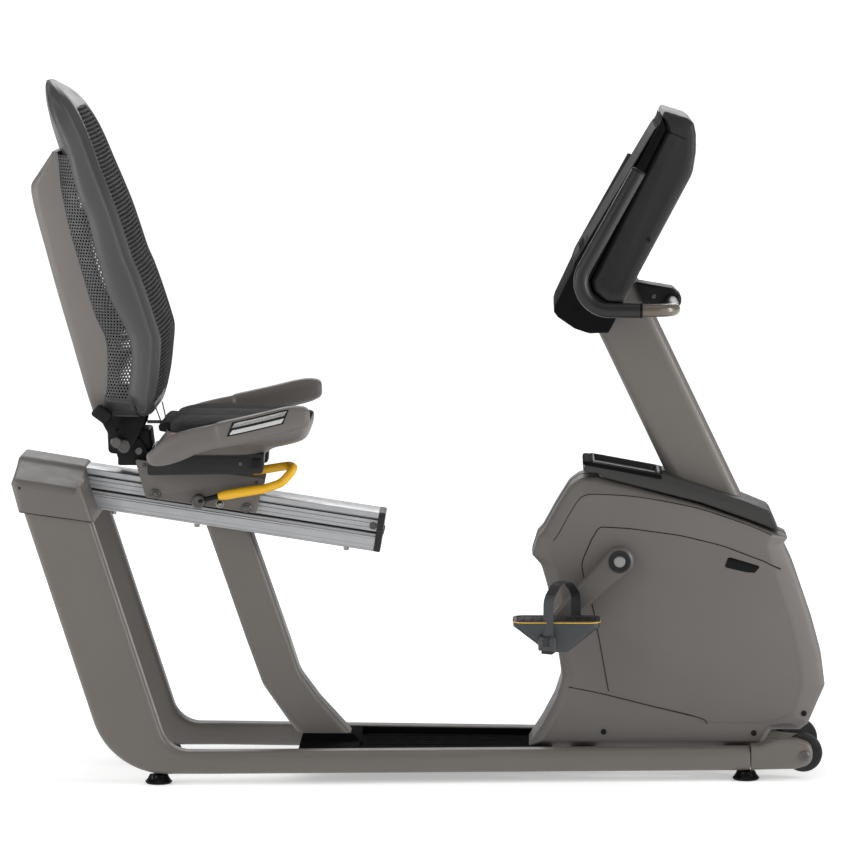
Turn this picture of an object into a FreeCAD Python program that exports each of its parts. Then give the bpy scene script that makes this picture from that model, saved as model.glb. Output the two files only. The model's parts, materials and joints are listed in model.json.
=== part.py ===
import FreeCAD, Part
import Sketcher
import math
import os

# Recumbent exercise bike.  Millimetres, +X forward, +Y the rider's left,
# +Z up, floor at z = 0, origin below the middle of the whole machine.

V = FreeCAD.Vector
Rot = FreeCAD.Rotation
Place = FreeCAD.Placement

doc = FreeCAD.newDocument("ExerciseBike")
sheet = doc.addObject("Spreadsheet::Sheet", "Sizes")
_rows = {}


def size(name, value):
    """Put a driving dimension in the sheet and give its value back."""
    if name not in _rows:
        cell = "B%d" % (len(_rows) + 2)
        _rows[name] = float(value)
        sheet.set("A%d" % (len(_rows) + 1), name)
        sheet.set(cell, repr(float(value)))
        sheet.setAlias(cell, name)
    return _rows[name]


sheet.set("A1", "dimension")
sheet.set("B1", "mm")

# ---------------------------------------------------------------- sizes
RAIL_W = size("rail_width", 50.0)
RAIL_H = size("rail_height", 47.0)
RAIL_WALL = size("rail_wall", 2.5)
RAIL_LEN = size("rail_length", 1064.0)
RAIL_YR = size("rail_rear_half_spacing", 182.0)
RAIL_ANGLE = size("rail_toe_in_deg", 3.67)
RAIL_Z = size("rail_underside", 20.0)
UP_X = size("upright_depth", 128.2)
UP_Y = size("upright_thickness", 50.0)
UP_WALL = size("upright_wall", 3.0)
POST_W = size("post_width", 76.0)
SEAT_ANGLE = size("seat_rail_slope_deg", 8.7)
SEAT_W = size("seat_rail_width", 110.0)
SEAT_H = size("seat_rail_height", 78.0)
SEAT_LEN = size("seat_rail_length", 602.0)
MAST_ANGLE = size("mast_lean_deg", 25.8)
MAST_D = size("mast_depth", 117.0)
MAST_T = size("mast_thickness", 68.0)
MAST_WALL = size("mast_wall", 3.0)
SHROUD_W = size("shroud_half_width", 90.0)
SHROUD_WALL = size("shroud_wall", 3.0)
CRANK_LEN = size("crank_length", 172.0)
AXLE_R = size("crank_axle_radius", 10.0)
PULLEY_R = size("drive_pulley_radius", 95.0)
SMALL_R = size("flywheel_pulley_radius", 25.0)
FLY_R = size("flywheel_radius", 115.0)
FLY_T = size("flywheel_thickness", 28.0)
SPINDLE_R = size("pedal_spindle_radius", 8.0)
RUN = size("running_clearance", 0.05)
BAR_R = size("handlebar_tube_radius", 12.5)
GRIP_R = size("handlebar_grip_radius", 14.4)
WHEEL_R = size("transport_wheel_radius", 38.0)
WHEEL_W = size("transport_wheel_width", 24.0)
ROLLER_R = size("seat_roller_radius", 14.0)
PLATE = size("carriage_plate", 6.0)

AX, AZ = 394.9, 437.8          # crank axle
FX, FZ = 610.0, 260.0          # flywheel axle
CRANK_DEG = 224.5              # right arm, from +X towards +Z
RX, RZ = -377.0, 490.9         # a point of the seat rail's underside


# ---------------------------------------------------------------- helpers
def plane_of(body, role):
    return [f for f in body.Origin.OriginFeatures if f.Role == role][0]


def arc2(c, r, a, b):
    """Counter-clockwise arc about c from angle a to b (radians)."""
    while b <= a:
        b += 2 * math.pi
    return Part.ArcOfCircle(Part.Circle(V(c[0], c[1], 0), V(0, 0, 1), r), a, b)


def outline(points):
    """Closed outline with an optional radius at each corner (x, y[, r])."""
    n = len(points)
    corners = []
    for i in range(n):
        p = points[i]
        r = p[2] if len(p) > 2 else 0.0
        q0, q2 = points[i - 1], points[(i + 1) % n]
        P = V(p[0], p[1], 0)
        d1 = V(q0[0], q0[1], 0) - P
        d2 = V(q2[0], q2[1], 0) - P
        ang = d1.getAngle(d2)
        if r <= 0 or math.pi - ang < 0.02:
            corners.append((P, P, None))
            continue
        l1 = d1.Length * (0.48 if len(q0) > 2 and q0[2] > 0 else 0.98)
        l2 = d2.Length * (0.48 if len(q2) > 2 and q2[2] > 0 else 0.98)
        t = min(r / math.tan(ang / 2), l1, l2)
        r = t * math.tan(ang / 2)
        u1, u2 = V(d1), V(d2)
        u1.normalize()
        u2.normalize()
        A, B = P + u1 * t, P + u2 * t
        bis = u1 + u2
        bis.normalize()
        C = P + bis * (r / math.sin(ang / 2))
        a = math.atan2(A.y - C.y, A.x - C.x)
        b = math.atan2(B.y - C.y, B.x - C.x)
        turn = (b - a) % (2 * math.pi)
        arc = arc2((C.x, C.y), r, a, b) if turn < math.pi else arc2((C.x, C.y), r, b, a)
        corners.append((A, B, arc))
    geo = []
    for i in range(n):
        A, B, arc = corners[i]
        if arc:
            geo.append(arc)
        N = corners[(i + 1) % n][0]
        if (N - B).Length > 1e-6:
            geo.append(Part.LineSegment(B, N))
    return geo


def inset(points, d):
    """The same outline moved inwards by d, for the inside of a wall."""
    n = len(points)
    area = sum(points[i - 1][0] * points[i][1] - points[i][0] * points[i - 1][1] for i in range(n))
    s = 1.0 if area > 0 else -1.0
    out = []
    for i in range(n):
        p, a, b = points[i], points[i - 1], points[(i + 1) % n]
        e1 = V(p[0] - a[0], p[1] - a[1], 0)
        e2 = V(b[0] - p[0], b[1] - p[1], 0)
        e1.normalize()
        e2.normalize()
        n1 = V(-e1.y * s, e1.x * s, 0)
        n2 = V(-e2.y * s, e2.x * s, 0)
        m = n1 + n2
        k = 2.0 / max(0.5, m.Length ** 2)
        q = (p[0] + m.x * d * k, p[1] + m.y * d * k)
        if len(p) > 2 and p[2] > 0:
            convex = (e1.x * e2.y - e1.y * e2.x) * s > 0
            r = p[2] - d if convex else p[2] + d
            q = (q[0], q[1], max(r, 0.5))
        out.append(q)
    return out


def link(c0, r0, c1, r1):
    """Outline of two discs and their outer tangents, as a belt or a lever."""
    dx, dy = c1[0] - c0[0], c1[1] - c0[1]
    L = math.hypot(dx, dy)
    t = math.atan2(dy, dx)
    f = math.acos((r0 - r1) / L)

    def pt(c, r, a):
        return V(c[0] + r * math.cos(a), c[1] + r * math.sin(a), 0)

    return [
        arc2(c0, r0, t + f, t - f + 2 * math.pi),
        Part.LineSegment(pt(c0, r0, t - f), pt(c1, r1, t - f)),
        arc2(c1, r1, t - f, t + f),
        Part.LineSegment(pt(c1, r1, t + f), pt(c0, r0, t + f)),
    ]


def circle(x, y, alias=None, r=None):
    return ("circle", x, y, alias, r)


def body(name):
    b = doc.addObject("PartDesign::Body", name)
    b.Label = name
    return b


def sketch(b, role, at, loops):
    s = b.newObject("Sketcher::SketchObject", b.Name + "_sketch")
    s.AttachmentSupport = [(plane_of(b, role), "")]
    s.MapMode = "FlatFace"
    s.AttachmentOffset = Place(V(0, 0, -at if role == "XZ_Plane" else at), Rot())
    for loop in loops:
        if isinstance(loop, tuple) and loop[0] == "circle":
            r = _rows[loop[3]] if loop[3] else loop[4]
            i = s.addGeometry(Part.Circle(V(loop[1], loop[2], 0), V(0, 0, 1), r))
            c = s.addConstraint(Sketcher.Constraint("Radius", i, r))
            if loop[3]:
                s.setExpression("Constraints[%d]" % c, "Sizes." + loop[3])
        else:
            geo = loop if not isinstance(loop[0], tuple) else outline(loop)
            for g in geo:
                s.addGeometry(g)
    return s


def pad(b, role, at, length, loops, alias=None):
    """Add material between two planes, symmetric about the plane at `at`."""
    s = sketch(b, role, at, loops)
    p = b.newObject("PartDesign::Pad", b.Name + "_pad")
    p.Profile = s
    p.SideType = "Symmetric"
    p.Length = length
    if alias:
        p.setExpression("Length", "Sizes." + alias)
    b.Tip = p
    return p


def pocket(b, role, at, length, loops):
    """Cut between two planes; the volume must fall."""
    doc.recompute()
    before = b.Shape.Volume
    s = sketch(b, role, at, loops)
    p = b.newObject("PartDesign::Pocket", b.Name + "_pocket")
    p.Profile = s
    p.SideType = "Symmetric"
    p.Length = length
    b.Tip = p
    doc.recompute()
    if not b.Shape.Volume < before - 1e-3:
        raise RuntimeError("%s: the pocket cut nothing" % b.Label)
    return p


def between(y0, y1):
    return (y0 + y1) / 2.0, abs(y1 - y0)


def fillet(b, radius, pick, chamfer=False):
    """Round the picked edges of a body, easing the radius if it won't go."""
    doc.recompute()
    tip = b.Tip
    names = ["Edge%d" % (i + 1) for i, e in enumerate(tip.Shape.Edges) if pick(e)]
    if not names:
        raise RuntimeError("%s: no edge to round" % b.Label)
    for k in (1.0, 0.8, 0.6, 0.4, 0.2):
        kind = "PartDesign::Chamfer" if chamfer else "PartDesign::Fillet"
        f = b.newObject(kind, b.Name + "_edge")
        f.Base = (tip, names)
        if chamfer:
            f.Size = radius * k
        else:
            f.Radius = radius * k
        b.Tip = f
        doc.recompute()
        ok = f.State != ["Invalid"] and "Invalid" not in f.State and not f.Shape.isNull() and f.Shape.isValid() and f.Shape.Volume > 0
        if ok:
            if k < 1.0:
                print("eased", b.Label, radius * k)
            return f
        b.removeObject(f)
        doc.removeObject(f.Name)
        b.Tip = tip
        doc.recompute()
    print("left sharp", b.Label)
    return tip


def flat_at(axis, value, tol=0.05):
    def pick(e):
        bb = e.BoundBox
        lo, hi = {"x": (bb.XMin, bb.XMax), "y": (bb.YMin, bb.YMax), "z": (bb.ZMin, bb.ZMax)}[axis]
        return abs(lo - value) < tol and abs(hi - value) < tol
    return pick


def any_of(*picks):
    return lambda e: any(p(e) for p in picks)


def place(obj, base, angle=0.0, axis=(0, 1, 0)):
    obj.Placement = Place(V(*base), Rot(V(*axis), angle))
    return obj


NODES = {}


def node(name, obj):
    obj.Label = name
    NODES[name] = obj
    return obj


def cut(name, base, *tools):
    """Take the tools away from a finished piece."""
    obj = base
    for i, t in enumerate(tools):
        c = doc.addObject("Part::Cut", "%s_cut%d" % (name, i))
        c.Base = obj
        c.Tool = t
        obj = c
    return obj


def group(name, *parts):
    c = doc.addObject("Part::Compound", name + "_set")
    c.Links = list(parts)
    return c


def cyl_y(name, x, y0, y1, z, alias, extra=0.0):
    """A round bar along Y."""
    c = doc.addObject("Part::Cylinder", name)
    c.setExpression("Radius", "Sizes.%s + %r" % (alias, extra))
    c.Height = abs(y1 - y0)
    c.Placement = Place(V(x, max(y0, y1), z), Rot(V(1, 0, 0), 90))
    return c


def box(name, x, y, z, lx, ly, lz):
    c = doc.addObject("Part::Box", name)
    c.Length, c.Width, c.Height = lx, ly, lz
    c.Placement = Place(V(x, y, z), Rot())
    return c


def feature(name, shape):
    f = doc.addObject("Part::Feature", name)
    f.Shape = shape
    return f


def loft(name, sections):
    wires = [Part.makePolygon([V(*p) for p in s] + [V(*s[0])]) for s in sections]
    return Part.makeLoft(wires, True, True)


def rail_frame(obj):
    """Place something drawn along the sloping seat rail."""
    return place(obj, (RX, 0, RZ), SEAT_ANGLE)


SIDES = (("right", -1.0), ("left", 1.0))

# ---------------------------------------------------------------- base frame
# Two oval side rails that close up towards the front.
for side, s in SIDES:
    b = body("side_rail_" + side)
    w, h, t = RAIL_W / 2, RAIL_H / 2, RAIL_WALL
    outer = [(-w, -h, 14), (w, -h, 14), (w, h, 14), (-w, h, 14)]
    inner = [(-w + t, -h + t, 11.5), (w - t, -h + t, 11.5), (w - t, h - t, 11.5), (-w + t, h - t, 11.5)]
    pad(b, "YZ_Plane", RAIL_LEN / 2, RAIL_LEN, [outer, inner], "rail_length")
    # the hole for the front foot's stem
    pocket(b, "XY_Plane", -h, 10, [circle(1056.4, 0, None, 6.6)])
    place(b, (-406.4, s * RAIL_YR, RAIL_Z + h), -s * RAIL_ANGLE, (0, 0, 1))
    node("side_rail_" + side, b)

# Rear corner elbows: plate-shaped at the upright, tube-shaped at the rail.
CORNER = [(-646.0, 130.1), (-610.2, 20.0, 154.0), (-408.0, 20.0), (-408.0, 67.0), (-497.2, 67.0, 58.0), (-517.8, 130.5)]
CORNER_IN = [(-643.0, 134.0), (-606.6, 24.0, 150.0), (-400.0, 24.0), (-400.0, 63.0), (-499.6, 63.0, 62.0), (-522.6, 134.0)]
corners = []
for side, s in SIDES:
    b = body("rear_corner_" + side)
    pad(b, "XZ_Plane", s * RAIL_YR, UP_Y, [CORNER], "upright_thickness")
    fillet(b, 14.0, lambda e, s=s: any(flat_at("y", s * RAIL_YR + k * UP_Y / 2)(e) for k in (-1, 1)) and e.BoundBox.XMax < -407 and not (abs(e.BoundBox.ZMin - 130.1) < 0.6) and not (abs(e.BoundBox.XMin + 408) < 0.01))
    pocket(b, "XZ_Plane", s * RAIL_YR, UP_Y - 8, [CORNER_IN])
    pocket(b, "XY_Plane", 20, 20, [circle(-516.6, s * RAIL_YR, None, 6.6)])
    corners.append(b)
node("rear_corners", group("rear_corners", *corners))

# Rear uprights, hollow, leaning back.
for side, s in SIDES:
    b = body("rear_upright_" + side)
    w, h, t = UP_X / 2, UP_Y / 2, UP_WALL
    sk = sketch(b, "XY_Plane", 130.6, [
        [(-582 - w, s * RAIL_YR - h, 14), (-582 + w, s * RAIL_YR - h, 14), (-582 + w, s * RAIL_YR + h, 14), (-582 - w, s * RAIL_YR + h, 14)],
        [(-582 - w + t, s * RAIL_YR - h + t, 11), (-582 + w - t, s * RAIL_YR - h + t, 11), (-582 + w - t, s * RAIL_YR + h - t, 11), (-582 - w + t, s * RAIL_YR + h - t, 11)],
    ])
    p = b.newObject("PartDesign::Pad", b.Name + "_pad")
    p.Profile = sk
    p.UseCustomVector = True
    p.Direction = V(-0.3247, 0, 1.0)
    p.AlongSketchNormal = True
    p.Length = size("upright_rise", 431.7)
    p.setExpression("Length", "Sizes.upright_rise")
    b.Tip = p
    node("rear_upright_" + side, b)

# Crossbeam between the uprights, and the moulded cover over their tops.
b = body("top_crossbeam")
pad(b, "XZ_Plane", 0, 313.6, [[(-70, 2, 6), (0, 2, 6), (0, 50, 6), (-70, 50, 6)], [(-67, 5, 3), (-3, 5, 3), (-3, 47, 3), (-67, 47, 3)]])
place(b, (-694.0, 0, 540.6), SEAT_ANGLE)
node("top_crossbeam", b)

COVER = [(-788.5, 541.0), (-803.5, 597.0, 20), (-804.0, 618.0, 12), (-792.0, 650.0, 10), (-664.0, 650.0, 4), (-663.0, 587.0, 6), (-660.0, 578.0, 6), (-640.2, 521.3)]
b = body("cover_block")
pad(b, "XZ_Plane", 0, 420.0, [COVER])
roof = feature("cover_roof", Part.Face(Part.makePolygon([V(-806, y, z) for y, z in ((-212, 480), (-212, 606), (-80, 631), (-60, 640.5), (60, 640.5), (80, 631), (212, 606), (212, 480), (-212, 480))])).extrude(V(170, 0, -170 * math.tan(math.radians(SEAT_ANGLE)))))
c1 = doc.addObject("Part::Common", "cover_outer")
c1.Base, c1.Tool = b, roof
b2 = body("cover_hollow_block")
pad(b2, "XZ_Plane", 0, 415.0, [[(-780, 480), (-799.0, 597.0), (-799.5, 616.0, 8), (-790.0, 648.0), (-667.5, 648.0), (-666.0, 587.0), (-662.0, 577.0), (-642.4, 521.3), (-630, 480)]])
roof2 = feature("cover_roof_inside", Part.Face(Part.makePolygon([V(-806, y, z) for y, z in ((-212, 470), (-212, 602), (-80, 627), (-60, 636.5), (60, 636.5), (80, 627), (212, 602), (212, 470), (-212, 470))])).extrude(V(190, 0, -190 * math.tan(math.radians(SEAT_ANGLE)))))
c2 = doc.addObject("Part::Common", "cover_inner")
c2.Base, c2.Tool = b2, roof2
slot = box("cover_rail_slot", 0, -57, -3, 80, 114, 84)
slot.Placement = Place(V(-700, 0, 540.0), Rot(V(0, 1, 0), SEAT_ANGLE)).multiply(Place(V(0, -57, -2), Rot()))
node("rear_top_cover", cut("rear_top_cover", c1, c2, slot))

# Sloping aluminium seat rail with a channel down each side.
b = body("seat_rail")
W, H = SEAT_W / 2, SEAT_H
half = [(W, 0), (W, 26), (W - 1, 28), (W - 1, 35), (W - 12, 35), (W - 12, 64), (W - 3, 64), (W - 3, 66), (W, 66), (W, H)]
prof = half + [(-y, z) for y, z in reversed(half)]
pad(b, "YZ_Plane", 0, SEAT_LEN, [prof, [(-39, 37, 2), (39, 37, 2), (39, 73, 2), (-39, 73, 2)], [(-50, 4, 2), (-3, 4, 2), (-3, 31, 2), (-50, 31, 2)], [(3, 4, 2), (50, 4, 2), (50, 31, 2), (3, 31, 2)]], "seat_rail_length")
rail_frame(b)
b.Placement = b.Placement.multiply(Place(V(-15.6, 0, 0), Rot()))
node("seat_rail", b)

b = body("rail_end_cap")
pad(b, "YZ_Plane", 285.4 + 6.5, 13.0, [[(-W - 1, -1, 6), (W + 1, -1, 6), (W + 1, H + 1, 10), (-W - 1, H + 1, 10)]])
fillet(b, 5.0, flat_at("x", 298.4))
rail_frame(b)
node("rail_end_cap", b)

# Centre post: hollow, sweeping forward into its foot.
POST = [(-431.2, 499.1), (-351.4, 268.4), (-318.0, 176.0, 60), (-262.9, 97.0, 30), (-247.0, 78.0), (-141.2, 78.0), (-168.0, 108.0, 60), (-203.0, 146.0, 60), (-243.0, 200.0, 90), (-264.4, 266.5), (-340.6, 485.2)]
b = body("centre_post")
pad(b, "XZ_Plane", 0, POST_W, [POST], "post_width")
fillet(b, 13.0, lambda e: any(flat_at("y", k * POST_W / 2)(e) for k in (-1, 1)) and e.BoundBox.ZMax > 78.5 and not (e.BoundBox.ZMin > 484))
pocket(b, "XZ_Plane", 0, POST_W - 8, [[(-428.0, 503.5), (-347.0, 269.0), (-313.5, 178.5, 56), (-257.0, 99.0, 26), (-240.0, 70.0), (-150.0, 70.0), (-171.0, 105.0, 64), (-206.5, 143.0, 64), (-247.0, 198.6, 94), (-268.6, 265.0), (-346.0, 490.0)]])
node("centre_post", b)

# Cross members between the rails.
def rail_inner(x):
    return RAIL_YR - (x + 408.0) * math.tan(math.radians(RAIL_ANGLE)) - RAIL_W / 2 - 0.1


members = []
for i, (x0, x1) in enumerate(((-232.0, -150.0), (300.0, 350.0), (606.0, 656.0))):
    b = body("cross_member_%d" % i)
    a0, a1 = rail_inner(x0), rail_inner(x1)
    pad(b, "XY_Plane", 38, 12.0, [[(x0, -a0), (x1, -a1), (x1, a1), (x0, a0)]])
    members.append(b)
node("cross_members", group("cross_members", *members))

# Step-over deck: a sunken ribbed tread with raised sides and a boss under the post.
b = body("deck_cover")
x0, x1 = -241.0, 262.0
a0, a1 = rail_inner(x0), rail_inner(x1)
pad(b, "XY_Plane", 54.5, 21.0, [[(x0, -a0), (x1, -a1), (x1, a1), (x0, a0)]])
pocket(b, "XY_Plane", 62.0, 20.0, [[(-122.0, -rail_inner(-122) + 12, 6), (x1 + 5, -rail_inner(x1) + 12), (x1 + 5, rail_inner(x1) - 12), (-122.0, rail_inner(-122) - 12, 6)]])
for i in range(9):
    yy = -96.0 + 24.0 * i
    pad(b, "XY_Plane", 53.0, 3.0, [[(-112.0, yy - 7, 1.5), (256.0, yy * 0.9 - 7, 1.5), (256.0, yy * 0.9 + 7, 1.5), (-112.0, yy + 7, 1.5)]])
pad(b, "XZ_Plane", 0, 98.0, [[(-241.0, 60.0), (-239.0, 72.0, 4), (-226.0, 78.0, 3), (-136.0, 78.0, 3), (-118.0, 60.0)]])
node("deck_cover", b)

# ---------------------------------------------------------------- front drive
MAST_BASE = (625.0, 0, 455.0)
b = body("console_mast")
w, h, t = MAST_D / 2, MAST_T / 2, MAST_WALL
pad(b, "XY_Plane", 294.0, 588.0, [[(-w, -h, 24), (w, -h, 24), (w, h, 24), (-w, h, 24)], [(-w + t, -h + t, 21), (w - t, -h + t, 21), (w - t, h - t, 21), (-w + t, h - t, 21)]])
place(b, MAST_BASE, -MAST_ANGLE)
mast_trim = body("mast_trim")
pad(mast_trim, "XZ_Plane", 0, 200.0, [[(341.0, 985.0), (427.0, 1009.0), (520.0, 1200.0), (200.0, 1200.0), (200.0, 940.0)]])
node("console_mast", cut("console_mast", b, mast_trim))

envelope = body("mast_envelope")
pad(envelope, "XY_Plane", 300.0, 640.0, [[(-w - 0.3, -h - 0.3, 24), (w + 0.3, -h - 0.3, 24), (w + 0.3, h + 0.3, 24), (-w - 0.3, h + 0.3, 24)]])
place(envelope, MAST_BASE, -MAST_ANGLE)

# Frame plates that carry the crank, the flywheel and the mast.
b = body("drive_frame")
PL = [(330.0, 44.4), (352.0, 420.0, 30), (372.0, 478.0, 20), (440.0, 486.0, 30), (540.0, 500.0, 30), (620.0, 520.0, 20), (690.0, 480.0, 20), (700.0, 300.0, 30), (672.0, 44.4)]
for s in (-1, 1):
    pad(b, "XZ_Plane", s * 36.6, 5.0, [PL, circle(AX, AZ, None, 22.0), circle(FX, FZ, None, SPINDLE_R + RUN), circle(460, 180, None, 62.0), circle(520, 400, None, 40.0), circle(470, 300, None, 34.0)])
pad(b, "XY_Plane", 46.9, 5.0, [[(330.0, -39.1), (672.0, -39.1), (672.0, 39.1), (330.0, 39.1)]])
pad(b, "XZ_Plane", 0, 78.0, [circle(392.0, 120.0, None, 12.0)])
node("drive_frame", b)

rings = []
for s in (-1, 1):
    b = body("crank_bearing_%d" % (s + 1))
    pad(b, "XZ_Plane", s * 38.0, 14.0, [circle(AX, AZ, None, 21.9), circle(AX, AZ, None, AXLE_R + RUN)])
    rings.append(b)
node("crank_bearings", group("crank_bearings", *rings))

axle = cyl_y("crank_axle", AX, -141.0, 141.0, AZ, "crank_axle_radius")
node("crank_axle", axle)

b = body("drive_pulley")
pad(b, "XZ_Plane", -14.0, 16.0, [circle(AX, AZ, "drive_pulley_radius"), circle(AX, AZ, "crank_axle_radius")])
for y in (-21.0, -7.0):
    pocket(b, "XZ_Plane", y, 11.0 if y < -14 else 11.0, [circle(AX, AZ, None, 84.0), circle(AX, AZ, None, 26.0)])
node("drive_pulley", b)

b = body("flywheel")
pad(b, "XZ_Plane", 14.0, FLY_T, [circle(FX, FZ, "flywheel_radius")], "flywheel_thickness")
pad(b, "XZ_Plane", -11.0, 22.0, [circle(FX, FZ, "flywheel_pulley_radius")])
pad(b, "XZ_Plane", 0.0, 84.0, [circle(FX, FZ, "pedal_spindle_radius")])
pocket(b, "XZ_Plane", 26.0, 10.0, [circle(FX, FZ, None, 92.0), circle(FX, FZ, None, 30.0)])
node("flywheel", b)

b = body("drive_belt")
g = 0.4
pad(b, "XZ_Plane", -14.0, 12.0, [link((AX, AZ), PULLEY_R + g + 3, (FX, FZ), SMALL_R + g + 3), link((AX, AZ), PULLEY_R + g, (FX, FZ), SMALL_R + g)])
node("drive_belt", b)

def sector(name, r, y0, y1, a0, a1):
    c = doc.addObject("Part::Cylinder", name)
    c.Radius, c.Height, c.Angle = r, abs(y1 - y0), a1 - a0
    c.Placement = Place(V(FX, max(y0, y1), FZ), Rot(V(1, 0, 0), 90)).multiply(Place(V(0, 0, 0), Rot(V(0, 0, 1), a0)))
    return c


yoke = sector("brake_yoke", 134.0, -9.0, 33.9, 20.0, 75.0)
bore = sector("brake_bore", 96.0, -12.0, 40.0, 0.0, 100.0)
gap = sector("brake_gap", FLY_R + 2.5, -2.5, 30.5, 0.0, 100.0)
node("brake_magnet", cut("brake_magnet", yoke, bore, gap))

# Crank arms with their pedal spindles.
for side, s in SIDES:
    a = math.radians(CRANK_DEG + (0 if s < 0 else 180))
    px, pz = AX + CRANK_LEN * math.cos(a), AZ + CRANK_LEN * math.sin(a)
    b = body("crank_arm_" + side)
    pad(b, "XZ_Plane", s * 121.0, 26.0, [link((AX, AZ), 29.0, (px, pz), 17.0), circle(AX, AZ, "crank_axle_radius")])
    fillet(b, 5.0, lambda e, s=s: flat_at("y", s * 134.0)(e) and e.Length > 40, True)
    pad(b, "XZ_Plane", s * 102.5, 11.0, [circle(AX, AZ, None, 26.0), circle(AX, AZ, "crank_axle_radius")])
    pad(b, "XZ_Plane", s * (133.9 + 254.0) / 2, 254.0 - 133.9, [circle(px, pz, "pedal_spindle_radius")])
    node("crank_arm_" + side, b)

    # Pedal, heavy side down, with its strap.
    b = body("pedal_" + side)
    T = [(-88, 18, 4), (-88, 5, 9), (-62, -14, 20), (-20, -46, 30), (20, -46, 30), (62, -14, 20), (84, 5, 9), (84, 18, 4)]
    yc = s * 207.5
    pad(b, "XZ_Plane", yc, 91.0, [[(px + q[0], pz + q[1], q[2]) for q in T]])
    fillet(b, 8.0, lambda e, yc=yc: any(flat_at("y", yc + k * 45.5)(e) for k in (-1, 1)) and e.BoundBox.ZMax < pz + 17.9)
    # shallow tread recess in the top
    pocket(b, "XY_Plane", pz + 18.0, 8.0, [[(px - 81, yc - 39, 14), (px + 77, yc - 39, 14), (px + 77, yc + 39, 14), (px - 81, yc + 39, 14)]])
    pocket(b, "XZ_Plane", yc, 98.0, [circle(px, pz, None, SPINDLE_R + RUN)])
    node("pedal_" + side, b)

    b = body("pedal_strap_" + side)
    hw, t = 55.5, 2.4
    arch = [(-hw, -30, 0), (-hw, 62, 34), (-20, 90, 40), (20, 90, 40), (hw, 62, 34), (hw, -2, 0), (hw - t, -2, 0), (hw - t, 60, 32), (18.5, 90 - t, 38), (-18.5, 90 - t, 38), (-hw + t, 60, 32), (-hw + t, -30, 0)]
    if s < 0:
        pass
    pad(b, "XZ_Plane", 0, 22.0, [arch])
    pad(b, "XZ_Plane", 0, 36.0, [[(-hw - 8, -42, 2), (-hw, -42, 1), (-hw, -14, 1), (-hw - 8, -14, 2)]])
    # the band crosses the pedal at a slant; its buckle is on the outer side
    b.Placement = Place(V(px + 9.0, yc, pz), Rot(V(0, 0, 1), 90 - 30.0 if s < 0 else -90 + 30.0))
    node("pedal_strap_" + side, b)

# Moulded shroud in two halves, open inside.
SH = [(216.7, 68.0, 3), (243.5, 104.0, 60), (268.0, 150.0, 60), (282.5, 195.0, 60), (256.4, 366.0, 300), (240.0, 423.0, 30), (221.5, 443.0, 4), (233.0, 480.0, 16), (244.3, 492.0, 16), (270.0, 539.0, 80), (297.0, 583.0, 30), (318.0, 598.0, 20), (352.0, 600.0, 20), (442.0, 577.0, 200), (556.0, 546.0, 200), (655.0, 511.0, 200), (731.0, 479.0, 3), (722.5, 468.0, 4), (742.0, 426.0), (778.5, 320.0, 300), (797.5, 250.0, 200), (806.0, 183.0, 14), (773.0, 106.0, 12), (757.0, 93.5, 4), (700.0, 93.5, 10), (680.0, 68.0)]
SH1, SH2 = inset(SH, 3.0), inset(SH, 10.5)
for side, s in SIDES:
    b = body("shroud_blank_" + side)
    pad(b, "XZ_Plane", s * SHROUD_W / 2, SHROUD_W, [SH], "shroud_half_width")
    fillet(b, 14.0, lambda e, s=s: flat_at("y", s * SHROUD_W)(e) and e.BoundBox.ZMin > 68.1)
    pocket(b, "XZ_Plane", s * 38.0, 76.0, [SH1])
    pocket(b, "XZ_Plane", s * 43.5, 87.0, [SH2])
    pocket(b, "XZ_Plane", s * 88.0, 20.0, [circle(AX, AZ, None, 20.0)])
    floor_slot = box("shroud_slot_" + side, 326.0, -42.0, 60.0, 378.0, 84.0, 14.0)
    node("shroud_" + side, cut("shroud_" + side, b, envelope, floor_slot))

PANEL = [(374.6, 172.0, 10), (354.3, 284.0, 200), (342.4, 343.0, 200), (325.0, 400.0, 60), (319.0, 428.0, 40), (340.0, 477.0, 30), (355.0, 502.0, 14), (413.0, 499.0, 200), (516.5, 485.0, 300), (600.0, 465.0, 300), (673.0, 438.0, 300), (718.0, 420.0, 20), (757.0, 316.0, 300), (776.0, 248.0, 200), (783.0, 186.0, 30), (756.0, 122.0, 30), (700.0, 98.0, 30), (571.0, 110.0, 20), (548.0, 123.0, 60)]
for side, s in SIDES:
    b = body("side_panel_" + side)
    pad(b, "XZ_Plane", s * 91.3, 2.6, [PANEL, circle(AX, AZ, None, 20.0)])
    fillet(b, 1.5, flat_at("y", s * 92.6))
    node("side_panel_" + side, b)

# Tray on top, round the foot of the mast.
TRAY = [(322.0, 622.0, 4), (327.0, 641.0, 6), (345.0, 645.0, 6), (484.0, 606.0, 200), (645.0, 553.0, 200), (691.0, 534.0, 6), (698.0, 527.0, 6), (713.0, 492.5), (655.0, 514.6, 200), (556.0, 549.6, 200), (448.0, 578.6, 60), (366.0, 602.0, 10), (354.0, 616.0, 6), (331.0, 617.0, 4)]
b = body("top_tray_block")
pad(b, "XZ_Plane", 0, 168.0, [TRAY])
fillet(b, 5.0, lambda e: any(flat_at("y", k * 84.0)(e) for k in (-1, 1)) and e.BoundBox.ZMin > 600)
dish = body("tray_dish")
pad(dish, "XY_Plane", 0, 22.0, [[(8, -74, 12), (138, -74, 12), (138, 74, 12), (8, 74, 12)]])
place(dish, (338.0, 0, 648.0), 15.6)
node("top_tray", cut("top_tray", b, dish, envelope))

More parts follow.
